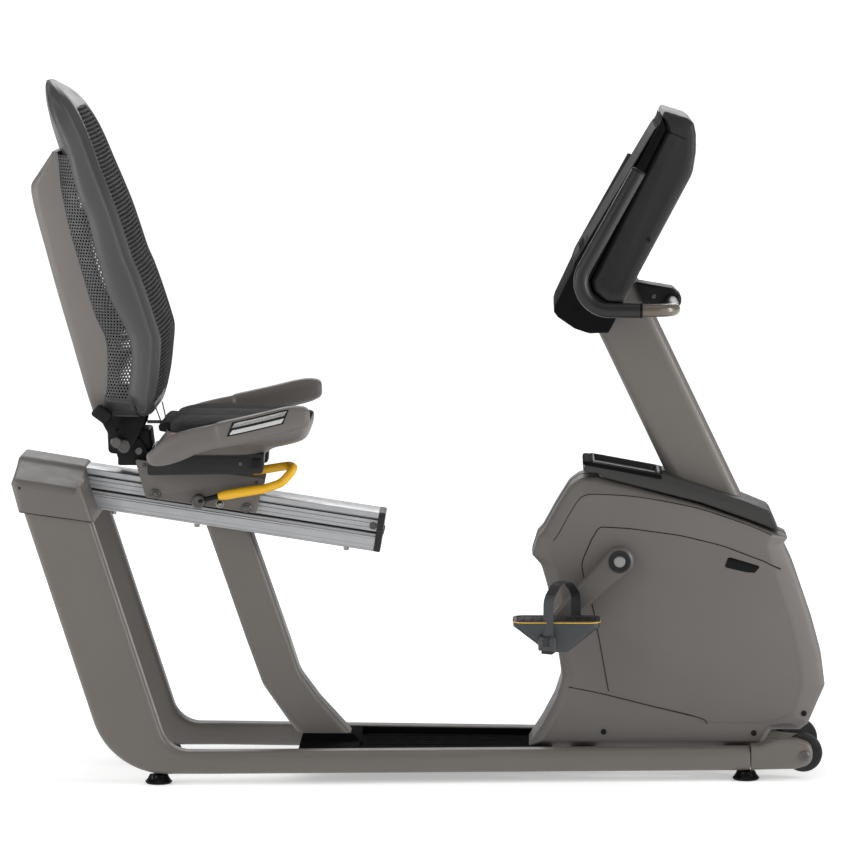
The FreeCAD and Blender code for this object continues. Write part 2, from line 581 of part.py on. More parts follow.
# ---------------------------------------------------------------- console
HOUSE = [(333.4, 999.5), (481.8, 1294.1), (473.0, 1322.0, 3), (477.0, 1331.0, 4), (524.0, 1316.5, 10), (536.0, 1307.0, 10), (540.5, 1284.0, 10), (540.5, 1250.0, 60), (534.0, 1208.0, 60), (427.8, 1007.7, 4), (400.3, 955.4, 6), (366.0, 957.0, 14), (340.0, 976.6, 14)]
HOLE = [(325.0, 1010.0), (474.0, 1305.0), (480.0, 1322.0), (523.0, 1311.5, 8), (532.0, 1304.0, 8), (535.5, 1284.0), (535.5, 1251.0), (529.5, 1210.0), (424.0, 1010.5), (398.0, 960.5), (367.5, 962.0), (344.5, 979.5), (338.0, 1000.0)]
b = body("console_housing_block")
pad(b, "XZ_Plane", 0, 372.0, [HOUSE])
fillet(b, 16.0, lambda e: any(flat_at("y", k * 186.0)(e) for k in (-1, 1)) and e.BoundBox.XMin > 400 and e.BoundBox.XMax > 433)
hol = body("console_hollow")
pad(hol, "XZ_Plane", 0, 340.0, [HOLE])
node("console_housing", cut("console_housing", b, hol, envelope))

BEZ = [(473.3, 1319.0), (471.0, 1309.5), (433.0, 1238.0), (302.5, 1025.0), (266.5, 950.0, 4), (263.0, 937.0, 6), (271.0, 926.0, 8), (304.4, 902.0, 10), (333.7, 891.0, 16), (371.0, 893.0), (399.6, 954.0), (366.0, 955.6, 14), (338.8, 975.6, 14), (332.2, 999.1), (480.6, 1294.1)]
b = body("console_bezel_block")
pad(b, "XZ_Plane", 0, 392.0, [BEZ])
face = body("console_face_outline")
pad(face, "YZ_Plane", 370.0, 400.0, [[(-196, 1340), (-196, 1012, 40), (-160, 900, 50), (-110, 880, 30), (110, 880, 30), (160, 900, 50), (196, 1012, 40), (196, 1340)]])
c3 = doc.addObject("Part::Common", "bezel_shape")
c3.Base, c3.Tool = b, face
node("console_bezel", cut("console_bezel", c3, envelope))

b = body("console_screen")
pad(b, "XY_Plane", 0, 2.4, [[(-164, -176, 10), (150, -176, 10), (150, 176, 10), (-164, 176, 10)]])
# lies on the sloping front, whose line runs from (471, 1309.5) to (302.5, 1025)
ang = math.degrees(math.atan2(1309.5 - 1025.0, 471.0 - 302.5))
nx, nz = -math.sin(math.radians(ang)), math.cos(math.radians(ang))
b.Placement = Place(V((471.0 + 302.5) / 2 + nx * 1.4, 0, (1309.5 + 1025.0) / 2 + nz * 1.4), Rot(V(0, 1, 0), -ang))
screen_plane = (ang, nx, nz)
node("console_screen", b)

# Handlebar: one bent tube, with foam grips.
def polyline_tube(points, radii, r, r_in=None):
    """A tube along straight runs joined by tangent arcs."""
    pts = [V(*p) for p in points]
    edges = []
    last = pts[0]
    for i in range(1, len(pts) - 1):
        P = pts[i]
        u1 = pts[i - 1] - P
        u2 = pts[i + 1] - P
        ang_ = u1.getAngle(u2)
        u1.normalize()
        u2.normalize()
        t_ = radii[i - 1] / math.tan(ang_ / 2)
        A, B = P + u1 * t_, P + u2 * t_
        bis = u1 + u2
        bis.normalize()
        M = P + bis * (radii[i - 1] / math.sin(ang_ / 2) - radii[i - 1])
        edges.append(Part.LineSegment(last, A).toShape())
        edges.append(Part.Arc(A, M, B).toShape())
        last = B
    edges.append(Part.LineSegment(last, pts[-1]).toShape())
    path = Part.Wire(edges)
    d = pts[1] - pts[0]

    def sweep(rad):
        ring = Part.Wire(Part.Circle(pts[0], d, rad).toShape())
        shell = Part.BRepOffsetAPI.MakePipeShell(path)
        shell.setTransitionMode(2)
        shell.add(ring)
        shell.build()
        shell.makeSolid()
        return shell.shape()

    solid = sweep(r)
    if solid.Volume < 0:
        solid.reverse()
    want = math.pi * r * r * path.Length
    if abs(solid.Volume - want) > 0.02 * want:
        raise RuntimeError("tube volume %.0f, wanted %.0f" % (solid.Volume, want))
    if r_in:
        inner = sweep(r_in)
        solid = solid.cut(inner)
    return solid, path


GX0, GZ0 = 425.8, 1216.7
GX1, GZ1 = 275.9, 947.5
BARX = 497.0
bar_pts = [(GX0, -280, GZ0), (GX1, -280, GZ1), (BARX, -280, GZ1), (BARX, 280, GZ1), (GX1, 280, GZ1), (GX0, 280, GZ0)]
bar, bar_path = polyline_tube(bar_pts, [56.0, 40.0, 40.0, 56.0], BAR_R, BAR_R - 2.2)
node("handlebar", feature("handlebar", bar))
ux, uz = (GX0 - GX1) / math.hypot(GX0 - GX1, GZ0 - GZ1), (GZ0 - GZ1) / math.hypot(GX0 - GX1, GZ0 - GZ1)
grip_set = []
for s in (-1, 1):
    gp, _ = polyline_tube([(GX0 + 4 * ux, s * 280, GZ0 + 4 * uz), (GX1, s * 280, GZ1), (432.0, s * 280, GZ1)], [56.0], GRIP_R)
    core, _ = polyline_tube([(GX0 + 0.2 * ux, s * 280, GZ0 + 0.2 * uz), (GX1, s * 280, GZ1), (440.0, s * 280, GZ1)], [56.0], BAR_R + 0.02)
    grip_set.append(gp.cut(core))
node("handlebar_grips", feature("handlebar_grips", Part.makeCompound(grip_set)))

b = body("handlebar_clamp_block")
pad(b, "XZ_Plane", 0, 92.0, [[(440.0, 944.0), (486.0, 930.0, 8), (517.0, 938.0, 12), (517.0, 958.0, 12), (500.0, 974.0, 10), (428.0, 986.0)]])
fillet(b, 6.0, lambda e: any(flat_at("y", k * 46.0)(e) for k in (-1, 1)) and e.BoundBox.XMax > 470)
bar_hole = cyl_y("clamp_bore", BARX, -60, 60, GZ1, "handlebar_tube_radius", 0.02)
node("handlebar_clamp", cut("handlebar_clamp", b, bar_hole, envelope))

# ---------------------------------------------------------------- wheels and feet
WX, WZ = 762.0, 52.0
forks = []
for side, s in SIDES:
    b = body("wheel_bracket_" + side)
    y_in, y_out = s * 80.0, s * 138.5
    C = [(657.2, 22.0), (657.2, 70.0), (672.0, 70.0, 10), (708.0, 84.0, 40), (748.0, 84.0, 26), (779.0, 74.0, 26), (779.0, 34.0, 26), (745.0, 24.0, 30)]
    m, l = between(s * 89.5, y_out)
    pad(b, "XZ_Plane", m, l, [C])
    m, l = between(s * 76.5, s * 89.5)
    pad(b, "XZ_Plane", m, l, [[(657.2, 24.0), (657.2, 66.0), (712.0, 66.0), (768.0, 62.0, 10), (770.0, 42.0, 10), (712.0, 24.0)]])
    fillet(b, 9.0, lambda e, y_out=y_out: flat_at("y", y_out)(e) and e.BoundBox.XMax > 658)
    m, l = between(s * 82.5, s * 109.5)
    pocket(b, "XZ_Plane", m, l, [[(716.0, 5.0), (810.0, 5.0), (810.0, 100.0), (716.0, 100.0)]])
    m, l = between(s * 78.0, s * 118.0)
    pad(b, "XZ_Plane", m, l, [circle(WX, WZ, None, 5.0)])
    forks.append(b)

    b = body("transport_wheel_" + side)
    pad(b, "XZ_Plane", s * 96.0, WHEEL_W, [circle(WX, WZ, "transport_wheel_radius"), circle(WX, WZ, None, 5.0 + RUN)], "transport_wheel_width")
    fillet(b, 3.0, lambda e, s=s: any(flat_at("y", s * 96.0 + k * WHEEL_W / 2)(e) for k in (-1, 1)) and e.Length > 100)
    for k in (-1, 1):
        pocket(b, "XZ_Plane", s * 96.0 + k * 12.0, 12.0, [circle(WX, WZ, None, 30.0), circle(WX, WZ, None, 11.0)])
    node("transport_wheel_" + side, b)

    for where, fx, fy in (("rear", -516.6, RAIL_YR), ("front", 647.8, RAIL_YR - 1055.9 * math.tan(math.radians(RAIL_ANGLE)))):
        b = body("foot_%s_%s" % (where, side))
        sk = sketch(b, "XZ_Plane", 0, [[(0, 0), (24.5, 0, 1.5), (27.0, 3.5, 1.5), (25.5, 6.0, 1.5), (19.0, 17.0, 2), (18.0, 20.0), (6.0, 20.0), (6.0, 34.0), (0, 34.0)]])
        rv = b.newObject("PartDesign::Revolution", b.Name + "_turn")
        rv.Profile = sk
        rv.ReferenceAxis = (sk, ["V_Axis"])
        rv.Angle = 360.0
        b.Tip = rv
        place(b, (fx, s * fy, 0))
        node("foot_%s_%s" % (where, side), b)
node("wheel_brackets", group("wheel_brackets", *forks))

# ---------------------------------------------------------------- seat carriage
b = body("seat_carriage")
SIDE_PLATE = [(-211.0, 112.0, 4), (-178.5, 39.3, 6), (44.0, 41.3, 6), (47.5, 112.0, 4)]
for s in (-1, 1):
    pad(b, "XZ_Plane", s * 72.0, PLATE, [SIDE_PLATE, circle(-160.3, 49.5, None, 5.05), circle(23.2, 49.5, None, 5.05)])
pad(b, "XY_Plane", 85.0, 6.0, [[(-195, -72), (46, -72), (46, 72), (-195, 72)]])
rail_frame(b)
node("seat_carriage", b)

for i, (nm, u) in enumerate((("rear", -160.3), ("front", 23.2))):
    b = body("seat_rollers_" + nm)
    for s in (-1, 1):
        pad(b, "XZ_Plane", s * 49.0, 9.4, [circle(u, 49.5, "seat_roller_radius")])
        m, l = between(s * 53.6, s * 79.5)
        pad(b, "XZ_Plane", m, l, [circle(u, 49.5, None, 5.0)])
        m, l = between(s * 75.6, s * 80.0)
        pad(b, "XZ_Plane", m, l, [circle(u, 49.5, None, 9.0)])
    rail_frame(b)
    node("seat_rollers_" + nm, b)

# Seat base box, shell, cushion.
b = body("seat_base_block")
pad(b, "XZ_Plane", 0, 240.0, [[(-540.0, 606.5, 4), (-540.0, 650.0), (-309.0, 650.0), (-311.5, 610.0, 4)]])
pocket(b, "XZ_Plane", -50.0, 46.0, [[(-352.0, 590.0), (-352.0, 647.0), (-300.0, 647.0), (-300.0, 590.0)]])
chan = body("base_channel")
pad(chan, "XZ_Plane", 0, 151.0, [[(-230.0, 20.0), (60.0, 20.0), (60.0, 112.6), (-230.0, 112.6)]])
rail_frame(chan)
node("seat_base", cut("seat_base", b, chan))

PAN = [
    [(-530, -130, 650.3), (-300, -124, 650.3), (-300, 124, 650.3), (-530, 130, 650.3)],
    [(-524, -150, 664), (-262, -150, 664), (-262, 150, 664), (-524, 150, 664)],
    [(-508, -198, 688), (-226, -196, 680), (-226, 196, 680), (-508, 198, 688)],
]
pan = feature("seat_pan_block", loft("pan", PAN))
pan_in = feature("seat_pan_inside", loft("pan_in", [
    [(-526, -126, 645), (-304, -120, 645), (-304, 120, 645), (-526, 126, 645)],
    [(-519, -145, 664), (-268, -145, 664), (-268, 145, 664), (-519, 145, 664)],
    [(-506, -180, 681), (-240, -180, 675), (-240, 180, 675), (-506, 180, 681)],
]))
node("seat_pan", cut("seat_pan", pan, pan_in))

CUSH = [
    [(-498, -190, 689.6), (-228, -188, 682), (-228, 188, 682), (-498, 190, 689.6)],
    [(-500, -200, 702), (-218, -200, 696), (-218, 200, 696), (-500, 200, 702)],
    [(-496, -192, 716), (-224, -192, 712), (-224, 192, 712), (-496, 192, 716)],
    [(-480, -172, 723), (-246, -172, 721), (-246, 172, 721), (-480, 172, 723)],
]
cushion = feature("seat_cushion", loft("cushion", CUSH))
node("seat_cushion", cushion)

# Side handles and their pulse contacts.
HAND = [(-528.0, 661.0, 10), (-511.0, 643.0, 10), (-473.0, 650.0, 20), (-438.0, 668.0, 40), (-316.0, 694.0, 100), (-224.0, 717.0, 12), (-212.0, 727.0, 10), (-211.0, 752.0, 8), (-219.0, 761.5, 8), (-257.0, 760.0, 40), (-400.0, 726.0, 100), (-470.0, 709.0, 40), (-518.0, 676.0, 14)]
hands = []
for side, s in SIDES:
    b = body("seat_handle_" + side)
    m, l = between(s * 274.0, s * 322.0)
    pad(b, "XZ_Plane", m, l, [HAND])
    fillet(b, 13.0, lambda e, s=s: any(flat_at("y", s * k)(e) for k in (274.0, 322.0)))
    m, l = between(s * 203.0, s * 290.0)
    pad(b, "XZ_Plane", m, l, [[(-520.0, 652.0, 8), (-476.0, 656.0, 8), (-470.0, 686.0, 8), (-508.0, 680.0, 8)]])
    m, l = between(s * 131.0, s * 210.0)
    pad(b, "XZ_Plane", m, l, [[(-520.0, 652.0, 3), (-484.0, 652.0, 3), (-484.0, 664.0, 3), (-516.0, 664.0, 3)]])
    hands.append(b)
hand_group = group("seat_handles", *hands)
node("seat_handles", hand_group)
pan_cut_tool = []
contacts = []
for side, s in SIDES:
    b = body("pulse_contacts_" + side)
    for k in (0, 1):
        x, z = (-384.0 + 8 * k, 699.0 + 12 * k)
        pad(b, "XZ_Plane", s * 322.7, 1.4, [[(x, z, 1), (x + 92.0, z + 22.0, 1), (x + 100.0, z + 30.0, 1), (x + 8.0, z + 8.0, 1)]])
    contacts.append(b)
node("pulse_contacts", group("pulse_contacts", *contacts))

# Recline bracket at the back of the seat.
PVX, PVZ = -591.4, 658.7
b = body("recline_bracket")
for s in (-1, 1):
    pad(b, "XZ_Plane", s * 50.0, 8.0, [[(-607.0, 642.0, 8), (-607.0, 668.0, 10), (-590.0, 678.0, 10), (-560.0, 672.0, 8), (-540.2, 640.0), (-540.2, 622.0), (-600.0, 622.0, 6)]])
pad(b, "XZ_Plane", 0, 108.0, [[(-604.0, 619.0, 4), (-604.0, 637.0, 4), (-540.2, 637.0), (-540.2, 619.0)]])
pad(b, "XZ_Plane", 0, 132.0, [circle(PVX, PVZ, "pedal_spindle_radius")])
node("recline_bracket", b)

# ---------------------------------------------------------------- yellow seat lever
LVX, LVZ = -440.7, 551.7
b = body("seat_lever")
pad(b, "XZ_Plane", -93.0, 24.0, [circle(LVX, LVZ, None, 14.0)])
pad(b, "XZ_Plane", -100.0, 10.0, [[(LVX - 4, LVZ - 5, 2), (LVX + 2, LVZ + 6, 2), (-388.0, 571.0, 1), (-388.0, 561.0, 1)]])
pad(b, "XZ_Plane", -78.1, 6.0, [circle(LVX, LVZ, None, 7.0)])
node("seat_lever", b)
lever, _ = polyline_tube([(-398.0, -100, 563.0), (-352.0, -100, 571.0), (-312.0, -100, 577.0), (-276.0, -100, 589.0), (-249.0, -96, 619.0), (-262.0, -50, 619.0), (-336.0, -50, 607.0)], [40.0, 40.0, 25.0, 16.0, 16.0], 9.0)
rod_hole = Part.Face(Part.makePolygon([V(-420, -105.1, 550), V(-387.9, -105.1, 560.9), V(-387.9, -105.1, 571.1), V(-420, -105.1, 566), V(-420, -105.1, 550)])).extrude(V(0, 10.2, 0))
node("lever_grip", feature("lever_grip", lever.cut(rod_hole)))

# ---------------------------------------------------------------- seat back
#          z     front   rear   cover  half-widths front, rear
LEVELS = [
    (724.0, -533.0, -592.0, -648.0, 176.0, 112.0),
    (744.0, -523.0, -606.0, -654.0, 190.0, 124.0),
    (787.0, -516.0, -618.0, -666.0, 204.0, 146.0),
    (836.0, -510.0, -616.0, -679.5, 209.0, 156.0),
    (883.0, -506.0, -619.5, -693.0, 211.0, 158.0),
    (925.0, -518.0, -638.5, -705.0, 212.0, 158.0),
    (995.0, -544.0, -660.0, -724.5, 212.0, 157.0),
    (1063.0, -570.0, -680.0, -743.0, 211.0, 155.0),
    (1128.0, -593.0, -698.0, -761.0, 208.0, 150.0),
    (1183.0, -615.0, -708.5, -768.5, 200.0, 142.0),
    (1245.0, -640.0, -722.0, -727.0, 186.0, 128.0),
    (1300.0, -663.0, -735.0, 0, 165.0, 112.0),
    (1349.0, -690.0, -745.0, 0, 130.0, 88.0),
    (1374.0, -714.0, -747.0, 0, 92.0, 64.0),
    (1386.0, -733.0, -744.0, 0, 52.0, 46.0),
]


def shell_section(z, xf, xr, wf, wr):
    return [(xf, -wf + 14, z), (xf, wf - 14, z), (xf - 12, wf, z), (xr, wr, z), (xr, -wr, z), (xf - 12, -wf, z)]


outer = loft("back", [shell_section(z, f, r, a, c) for z, f, r, _, a, c in LEVELS])
mid = [L for L in LEVELS if 740 < L[0] < 1320]
inner = loft("back_in", [[(f + 22, -a + 20, z), (f + 22, a - 20, z), (r - 22 if z < 1200 else r + 5, c - 6, z), (r - 22 if z < 1200 else r + 5, -c + 6, z)] for z, f, r, _, a, c in mid])
node("back_frame", feature("back_frame", outer.cut(inner)))
node("back_mesh", feature("back_mesh", loft("mesh", [[(f - 12, -a + 42, z), (f - 5, -a + 42, z), (f - 5, a - 42, z), (f - 12, a - 42, z)] for z, f, r, _, a, c in mid])))
cov = [L for L in LEVELS if L[0] < 1250 and L[0] > 740]
cov_out = loft("cov", [[(r - 0.3, -c, z), (r - 0.3, c, z), (t, 0.8 * c, z), (t, -0.8 * c, z)] for z, f, r, t, a, c in cov])
cov_in = loft("cov_in", [[(r + 5, -c + 4, z), (r + 5, c - 4, z), (t + 3.5, 0.8 * c - 3.5, z), (t + 3.5, -0.8 * c + 3.5, z)] for z, f, r, t, a, c in cov if z < 1200])
node("back_cover", feature("back_cover", cov_out.cut(cov_in)))

b = body("back_arms")
for s in (-1, 1):
    pad(b, "XZ_Plane", s * 60.0, 10.0, [[(-603.0, 656.0, 10), (-590.0, 646.0, 10), (-576.0, 652.0, 10), (-552.0, 700.0, 12), (-548.0, 723.6, 0), (-586.0, 723.6, 0), (-600.0, 690.0, 20)], circle(PVX, PVZ, None, SPINDLE_R + RUN)])
pad(b, "XZ_Plane", 0, 128.0, [[(-586.0, 712.0, 2), (-552.0, 712.0, 2), (-550.0, 723.6), (-586.0, 723.6)]])
node("back_arms", b)

b = body("recline_lever")
pad(b, "XZ_Plane", -122.0, 10.0, [[(-604.0, 662.0, 8), (-592.0, 668.0, 8), (-604.0, 700.0, 8), (-612.0, 722.0, 4), (-630.0, 712.0, 4), (-618.0, 690.0, 8)]])
pad(b, "XZ_Plane", -139.0, 26.0, [[(-652.0, 731.0, 6), (-634.0, 749.5, 6), (-605.0, 729.0, 6), (-622.0, 709.0, 6)]])
pad(b, "XZ_Plane", -96.1, 62.0, [circle(-602.0, 672.0, None, 8.0)])
node("recline_lever", b)

# ---------------------------------------------------------------- check and write
doc.recompute()
bad = [o.Label for o in doc.Objects if "Invalid" in o.State or "Error" in o.State]
if bad:
    raise RuntimeError("failed features: %s" % bad)
os.makedirs("parts", exist_ok=True)
if len(NODES) > 60:
    raise RuntimeError("too many sub-parts: %d" % len(NODES))
for name, obj in NODES.items():
    if obj.Shape.isNull() or not obj.Shape.isValid() or obj.Shape.Volume <= 0:
        raise RuntimeError("%s has no valid shape" % name)
for old in os.listdir("parts"):
    if old.endswith(".step") and old[:-5] not in NODES:
        os.remove(os.path.join("parts", old))
for name, obj in NODES.items():
    obj.Shape.exportStep("parts/%s.step" % name)
print(len(NODES), "sub-parts written")
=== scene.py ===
import bpy, bmesh, json, math, sys
from mathutils import Matrix, Vector
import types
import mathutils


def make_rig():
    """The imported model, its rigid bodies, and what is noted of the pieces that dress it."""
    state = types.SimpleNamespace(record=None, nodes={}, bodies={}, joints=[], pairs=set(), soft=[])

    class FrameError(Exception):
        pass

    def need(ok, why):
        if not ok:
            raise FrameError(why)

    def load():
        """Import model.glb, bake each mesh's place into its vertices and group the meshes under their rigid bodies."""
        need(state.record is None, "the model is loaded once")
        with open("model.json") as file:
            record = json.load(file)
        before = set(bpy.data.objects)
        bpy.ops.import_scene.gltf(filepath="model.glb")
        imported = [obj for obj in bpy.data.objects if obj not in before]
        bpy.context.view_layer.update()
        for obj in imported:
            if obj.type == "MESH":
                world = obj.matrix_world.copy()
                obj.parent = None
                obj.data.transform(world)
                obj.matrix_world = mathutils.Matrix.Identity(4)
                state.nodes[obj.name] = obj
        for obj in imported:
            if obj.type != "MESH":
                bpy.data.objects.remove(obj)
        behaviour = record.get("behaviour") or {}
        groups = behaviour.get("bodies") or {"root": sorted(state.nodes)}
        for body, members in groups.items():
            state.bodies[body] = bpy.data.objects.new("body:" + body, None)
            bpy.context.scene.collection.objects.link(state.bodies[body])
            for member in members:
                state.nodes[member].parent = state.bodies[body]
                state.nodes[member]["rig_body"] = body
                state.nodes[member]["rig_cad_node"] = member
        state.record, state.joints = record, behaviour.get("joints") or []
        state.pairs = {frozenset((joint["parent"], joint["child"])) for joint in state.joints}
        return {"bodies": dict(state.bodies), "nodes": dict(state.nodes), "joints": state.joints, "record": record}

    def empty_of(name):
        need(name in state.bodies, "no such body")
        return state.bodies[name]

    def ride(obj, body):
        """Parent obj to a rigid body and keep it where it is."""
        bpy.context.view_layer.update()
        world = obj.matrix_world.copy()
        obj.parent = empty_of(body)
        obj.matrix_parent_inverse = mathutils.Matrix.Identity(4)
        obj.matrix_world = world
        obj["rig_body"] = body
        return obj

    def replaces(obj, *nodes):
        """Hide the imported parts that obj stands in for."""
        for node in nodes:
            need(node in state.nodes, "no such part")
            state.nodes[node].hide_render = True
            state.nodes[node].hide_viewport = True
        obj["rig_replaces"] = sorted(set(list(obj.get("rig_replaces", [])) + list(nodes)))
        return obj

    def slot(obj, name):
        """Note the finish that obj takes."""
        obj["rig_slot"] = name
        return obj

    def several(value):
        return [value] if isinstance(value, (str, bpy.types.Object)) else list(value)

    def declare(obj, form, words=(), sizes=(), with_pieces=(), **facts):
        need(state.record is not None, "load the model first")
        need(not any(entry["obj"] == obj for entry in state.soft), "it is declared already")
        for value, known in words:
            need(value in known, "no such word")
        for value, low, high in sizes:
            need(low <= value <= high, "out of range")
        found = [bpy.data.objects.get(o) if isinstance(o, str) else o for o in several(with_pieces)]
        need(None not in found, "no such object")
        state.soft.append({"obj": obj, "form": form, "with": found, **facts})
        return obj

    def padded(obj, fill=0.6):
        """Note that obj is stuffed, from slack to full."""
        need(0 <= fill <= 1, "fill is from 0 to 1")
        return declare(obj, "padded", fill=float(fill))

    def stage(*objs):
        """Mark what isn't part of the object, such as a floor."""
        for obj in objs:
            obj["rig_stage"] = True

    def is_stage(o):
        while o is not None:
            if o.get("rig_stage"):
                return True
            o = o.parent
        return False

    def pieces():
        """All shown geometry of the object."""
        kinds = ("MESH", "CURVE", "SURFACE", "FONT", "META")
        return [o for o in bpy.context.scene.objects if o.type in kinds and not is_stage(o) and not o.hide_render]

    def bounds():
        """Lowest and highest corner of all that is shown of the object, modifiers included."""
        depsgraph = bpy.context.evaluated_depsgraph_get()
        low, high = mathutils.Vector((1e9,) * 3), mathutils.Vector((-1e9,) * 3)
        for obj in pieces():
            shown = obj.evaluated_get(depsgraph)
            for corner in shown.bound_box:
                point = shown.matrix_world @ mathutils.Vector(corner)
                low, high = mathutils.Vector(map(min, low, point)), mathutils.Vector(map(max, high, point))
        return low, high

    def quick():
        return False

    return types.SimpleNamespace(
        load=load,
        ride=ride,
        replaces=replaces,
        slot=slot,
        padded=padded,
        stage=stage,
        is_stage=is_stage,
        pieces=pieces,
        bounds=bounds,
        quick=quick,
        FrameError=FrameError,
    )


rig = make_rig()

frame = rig.load()
CAD_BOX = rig.bounds()
NODES = frame["nodes"]
K = 0.001
SLOPE = 8.7


# ================================================================ materials
def srgb(r, g, b):
    def c(v):
        v /= 255.0
        return v / 12.92 if v <= 0.04045 else ((v + 0.055) / 1.055) ** 2.4
    return (c(r), c(g), c(b))


def surface(name, color, rough=0.45, metal=0.0, spec=0.5, grain=900.0, bump=0.02, depth=0.0002,
            vary=0.10, rvary=0.08, cloud=7.0, stretch=None, coat=0.0, sheen=0.0, pattern="noise", ior=1.5):
    """A procedural finish: base colour with soft variation, fine grain in the bump, uneven roughness."""
    m = bpy.data.materials.new(name)
    m.use_nodes = True
    nt = m.node_tree
    nt.nodes.clear()
    L = nt.links.new
    out = nt.nodes.new("ShaderNodeOutputMaterial")
    p = nt.nodes.new("ShaderNodeBsdfPrincipled")
    L(p.outputs["BSDF"], out.inputs["Surface"])
    p.inputs["Metallic"].default_value = metal
    p.inputs["Specular IOR Level"].default_value = spec
    p.inputs["IOR"].default_value = ior
    p.inputs["Coat Weight"].default_value = coat
    if coat:
        p.inputs["Coat Roughness"].default_value = 0.15
    if sheen:
        p.inputs["Sheen Weight"].default_value = sheen
        p.inputs["Sheen Roughness"].default_value = 0.6
    tc = nt.nodes.new("ShaderNodeTexCoord")
    mp = nt.nodes.new("ShaderNodeMapping")
    L(tc.outputs["Object"], mp.inputs["Vector"])
    if stretch:
        mp.inputs["Scale"].default_value = stretch[:3]
        if len(stretch) > 3:
            mp.inputs["Rotation"].default_value = (0, math.radians(stretch[3]), 0)
    # broad tone variation
    n1 = nt.nodes.new("ShaderNodeTexNoise")
    n1.inputs["Scale"].default_value = cloud
    n1.inputs["Detail"].default_value = 4.0
    L(tc.outputs["Object"], n1.inputs["Vector"])
    ramp = nt.nodes.new("ShaderNodeMapRange")
    ramp.inputs["From Min"].default_value = 0.3
    ramp.inputs["From Max"].default_value = 0.7
    ramp.inputs["To Min"].default_value = 1.0 - vary
    ramp.inputs["To Max"].default_value = 1.0 + vary
    L(n1.outputs["Fac"], ramp.inputs["Value"])
    # grain
    if pattern == "noise":
        g = nt.nodes.new("ShaderNodeTexNoise")
        g.inputs["Detail"].default_value = 3.0
        g.inputs["Scale"].default_value = grain
        gout = g.outputs["Fac"]
    else:
        g = nt.nodes.new("ShaderNodeTexVoronoi")
        g.inputs["Scale"].default_value = grain
        gout = g.outputs["Distance"]
    L(mp.outputs["Vector"], g.inputs["Vector"])
    # colour = base * cloud * slight grain
    gm = nt.nodes.new("ShaderNodeMapRange")
    gm.inputs["To Min"].default_value = 1.0 - vary * 0.6
    gm.inputs["To Max"].default_value = 1.0 + vary * 0.6
    L(gout, gm.inputs["Value"])
    mul = nt.nodes.new("ShaderNodeMath")
    mul.operation = "MULTIPLY"
    L(ramp.outputs["Result"], mul.inputs[0])
    L(gm.outputs["Result"], mul.inputs[1])
    vm = nt.nodes.new("ShaderNodeVectorMath")
    vm.operation = "SCALE"
    vm.inputs[0].default_value = color
    L(mul.outputs["Value"], vm.inputs["Scale"])
    L(vm.outputs["Vector"], p.inputs["Base Color"])
    # roughness, with a few smoother rubbed patches
    n2 = nt.nodes.new("ShaderNodeTexNoise")
    n2.inputs["Scale"].default_value = cloud * 5.0
    n2.inputs["Detail"].default_value = 5.0
    L(tc.outputs["Object"], n2.inputs["Vector"])
    rr = nt.nodes.new("ShaderNodeMapRange")
    rr.inputs["From Min"].default_value = 0.3
    rr.inputs["From Max"].default_value = 0.7
    rr.inputs["To Min"].default_value = max(0.03, rough - rvary)
    rr.inputs["To Max"].default_value = min(1.0, rough + rvary)
    L(n2.outputs["Fac"], rr.inputs["Value"])
    L(rr.outputs["Result"], p.inputs["Roughness"])
    b = nt.nodes.new("ShaderNodeBump")
    b.inputs["Strength"].default_value = min(1.0, bump * 10)
    b.inputs["Distance"].default_value = depth
    L(gout, b.inputs["Height"])
    L(b.outputs["Normal"], p.inputs["Normal"])
    return m


TAUPE = srgb(98, 93, 88)
MAT = {}
MAT["paint"] = surface("frame_paint", TAUPE, rough=0.42, grain=1400, bump=0.03, vary=0.03, rvary=0.05, coat=0.05)
MAT["body"] = surface("body_plastic", srgb(98, 93, 89), rough=0.47, grain=1800, bump=0.04, vary=0.03, rvary=0.05)
MAT["arm"] = surface("arm_paint", srgb(82, 78, 74), rough=0.38, grain=1500, bump=0.03, vary=0.03, rvary=0.05)
MAT["rail"] = surface("brushed_aluminium", srgb(168, 169, 171), rough=0.36, metal=0.85, grain=1.0, bump=0.03, depth=0.0002, vary=0.05, rvary=0.08, stretch=(9.0, 700.0, 700.0, 8.7))
MAT["dark"] = surface("dark_plastic", srgb(38, 38, 39), rough=0.42, ior=1.32, spec=0.45, grain=1500, bump=0.04, vary=0.04, rvary=0.06)
MAT["dark_back"] = surface("back_frame_plastic", srgb(57, 57, 57), rough=0.42, spec=0.4, grain=1500, bump=0.05, vary=0.04, rvary=0.06)
MAT["black"] = surface("black_plastic", srgb(16, 16, 17), rough=0.5, spec=0.22, grain=1300, bump=0.05, vary=0.06, rvary=0.08)
MAT["gloss"] = surface("gloss_black", srgb(10, 10, 11), rough=0.2, spec=0.4, grain=600, bump=0.01, vary=0.05, rvary=0.05, ior=1.25)
MAT["foam"] = surface("grip_foam", srgb(20, 20, 21), rough=0.36, spec=0.4, grain=1100, bump=0.06, depth=0.0002, vary=0.10, rvary=0.08, pattern="voronoi")
MAT["rubber"] = surface("rubber", srgb(28, 28, 28), rough=0.62, grain=1200, bump=0.08, vary=0.08, rvary=0.1)
MAT["strap"] = surface("strap_rubber", srgb(40, 41, 42), rough=0.5, spec=0.3, grain=1200, bump=0.05, vary=0.06, rvary=0.08)
MAT["pedal"] = surface("pedal_plastic", srgb(56, 58, 61), rough=0.42, spec=0.35, grain=1300, bump=0.04, vary=0.05, rvary=0.08)
MAT["tread"] = surface("pedal_tread", srgb(20, 20, 20), rough=0.7, grain=900, bump=0.1, vary=0.1, rvary=0.1)
MAT["yellow"] = surface("lever_yellow", srgb(233, 178, 22), rough=0.36, grain=900, bump=0.04, vary=0.04, rvary=0.07, coat=0.1)
